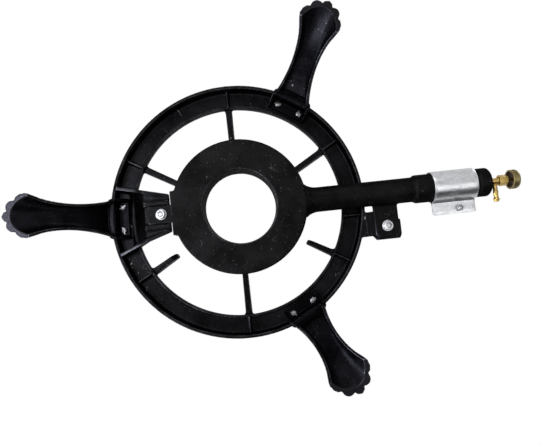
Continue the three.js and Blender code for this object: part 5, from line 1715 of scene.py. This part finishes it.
class GASBURNER_OT_stage(bpy.types.Operator):
    """Sets the pale floor, the soft lights, the white surroundings and the camera"""
    bl_idname = "gas_burner.stage"
    bl_label = "Stage"

    def execute(self, context):
        s = context.scene.gas_burner
        stage, p = s.stage, places()
        self.floor(stage, tuple(s.finish.floor))
        self.world(stage)
        for lamp in LAMPS:
            self.softbox(*lamp)
        self.dark_card()
        self.camera(stage, p)
        context.scene.view_settings.view_transform = "Standard"
        return {"FINISHED"}

    def floor(self, stage, tint):
        """A pale disc that fades to white for the camera and is clear from below"""
        bm = bmesh.new()
        bmesh.ops.create_circle(bm, cap_ends=True, segments=96, radius=stage.floor_radius,
                                matrix=at(0, 0, -stage.floor_gap))
        floor = object_from("floor", bm, outward=False)
        look = Finish("pale_floor")
        grain = look.past(look.noise(6, detail=4), 0.35, 0.65)
        look.surface(Base_Color=look.blend(grain, scaled(tint, 0.985), tint), Roughness=0.9,
                     Specular_IOR_Level=0.1)
        radius = look.add("ShaderNodeVectorMath", {0: look.place}, operation="LENGTH")
        far = look.share(radius.outputs["Value"], stage.floor_near, stage.floor_far,
                         interpolation_type="SMOOTHSTEP")
        seen = look.add("ShaderNodeLightPath").outputs["Is Camera Ray"]
        white = look.add("ShaderNodeEmission", {"Color": (1, 1, 1), "Strength": 1.0})
        away = look.mixed(look.times(far, seen), look.shader.outputs[0], white.outputs[0])
        clear = look.add("ShaderNodeBsdfTransparent").outputs[0]
        both = look.mixed(look.geometry("Backfacing"), away, clear)
        look.feed(look.nodes["Material Output"].inputs["Surface"], both)
        floor.data.materials.append(look.holder)
        floor.visible_shadow = False
        floor.visible_glossy = False

    def world(self, stage):
        """Soft light from all round, seen as white by the camera, metal and glass"""
        world = bpy.data.worlds.new("pale_studio")
        tree = Sheet(world)
        soft = tree.nodes["Background"]
        tree.feed(soft.inputs["Color"], (1, 1, 1))
        tree.feed(soft.inputs["Strength"], stage.world_level)
        white = tree.add("ShaderNodeBackground", {"Color": (1, 1, 1), "Strength": 1.0})
        ray = tree.add("ShaderNodeLightPath").outputs
        seen = tree.most(tree.most(ray["Is Camera Ray"], ray["Is Glossy Ray"]),
                         ray["Is Transmission Ray"])
        tree.feed(tree.nodes["World Output"].inputs["Surface"],
                  tree.mixed(seen, soft.outputs[0], white.outputs[0]))
        bpy.context.scene.world = world

    def softbox(self, name, place, size, brightness, tint):
        """An area lamp of a size and brightness"""
        data = bpy.data.lights.new(name, "AREA")
        data.shape = "RECTANGLE"
        data.size, data.size_y = size
        data.energy = math.pi * size[0] * size[1] * brightness
        data.color = tint
        lamp = bpy.data.objects.new(name, data)
        lamp.location = place
        facing = LAMP_TARGET - Vector(place)
        lamp.rotation_euler = facing.to_track_quat("-Z", "Y").to_euler()
        lamp.visible_camera = False
        bpy.context.scene.collection.objects.link(lamp)

    def dark_card(self):
        """A dark card that only reflections see: it gives the bright sleeve its dark band"""
        bm = bmesh.new()
        view = CARD_TARGET - Vector(CARD_PLACE)
        facing = view.to_track_quat("Z", "Y").to_matrix().to_4x4()
        bmesh.ops.create_grid(bm, x_segments=1, y_segments=1, size=0.5,
                              matrix=at(*CARD_PLACE, facing @ Matrix.Diagonal((*CARD_SIZE, 1, 1))))
        card = object_from("dark_card", bm, outward=False)
        look = Finish("dark_card_cloth")
        weave = look.ramp(look.noise(300, detail=2), (0.4, 0.008), (0.6, 0.014))
        cloth = look.surface(Base_Color=weave, Roughness=1.0, Specular_IOR_Level=0.0)
        card.data.materials.append(cloth)
        for rays in ("camera", "diffuse", "transmission", "shadow"):
            setattr(card, "visible_" + rays, False)

    def camera(self, stage, p):
        """The camera of the photo, placed from the ring's axis and turned to its view"""
        data = bpy.data.cameras.new("photo_camera")
        data.lens = stage.lens
        data.sensor_width = 36
        data.clip_start = 0.01
        data.dof.use_dof = False
        camera = bpy.data.objects.new("photo_camera", data)
        turn = Vector((stage.camera_pitch, stage.camera_yaw, stage.camera_roll))
        into_view = Matrix.Rotation(turn.length, 3, turn.normalized()).transposed()
        right = into_view @ Vector((1, 0, 0))
        up = into_view @ Vector((0, -1, 0))
        back = into_view @ Vector((0, 0, -1))
        place = p.axis + Vector((stage.camera_forward, stage.camera_sideways,
                                 p.skirt_bottom - stage.camera_drop))
        facing = Matrix((right, up, back)).transposed().to_4x4()
        camera.matrix_world = Matrix.Translation(place) @ facing
        bpy.context.scene.collection.objects.link(camera)
        bpy.context.scene.camera = camera


class GASBURNER_PT_panel(bpy.types.Panel):
    """Lists the burner's pieces"""
    bl_label = "Gas Burner"
    bl_idname = "GASBURNER_PT_panel"
    bl_space_type = "VIEW_3D"
    bl_region_type = "UI"
    bl_category = "Gas Burner"

    def draw(self, context):
        for operator in OPERATORS:
            self.layout.operator(operator.bl_idname)


GROUPS = (RingSizes, BurnerSizes, LegSizes, FastenerSizes, ShutterSizes, ValveSizes, KnobSizes,
          FinishColours, StageSettings, GasBurnerSettings)
OPERATORS = (GASBURNER_OT_support_ring, GASBURNER_OT_burner_casting, GASBURNER_OT_legs,
             GASBURNER_OT_fasteners, GASBURNER_OT_air_shutter, GASBURNER_OT_valve,
             GASBURNER_OT_knob, GASBURNER_OT_stage)


def register():
    for cls in (*GROUPS, *OPERATORS, GASBURNER_PT_panel):
        bpy.utils.register_class(cls)
    bpy.types.Scene.gas_burner = PointerProperty(type=GasBurnerSettings)


def unregister():
    del bpy.types.Scene.gas_burner
    for cls in reversed((*GROUPS, *OPERATORS, GASBURNER_PT_panel)):
        bpy.utils.unregister_class(cls)


def main():
    register()
    bpy.ops.gas_burner.support_ring()
    bpy.ops.gas_burner.burner_casting()
    bpy.ops.gas_burner.legs()
    bpy.ops.gas_burner.fasteners()
    bpy.ops.gas_burner.air_shutter()
    bpy.ops.gas_burner.valve()
    bpy.ops.gas_burner.knob()
    bpy.ops.gas_burner.stage()


if __name__ == "__main__":
    main()
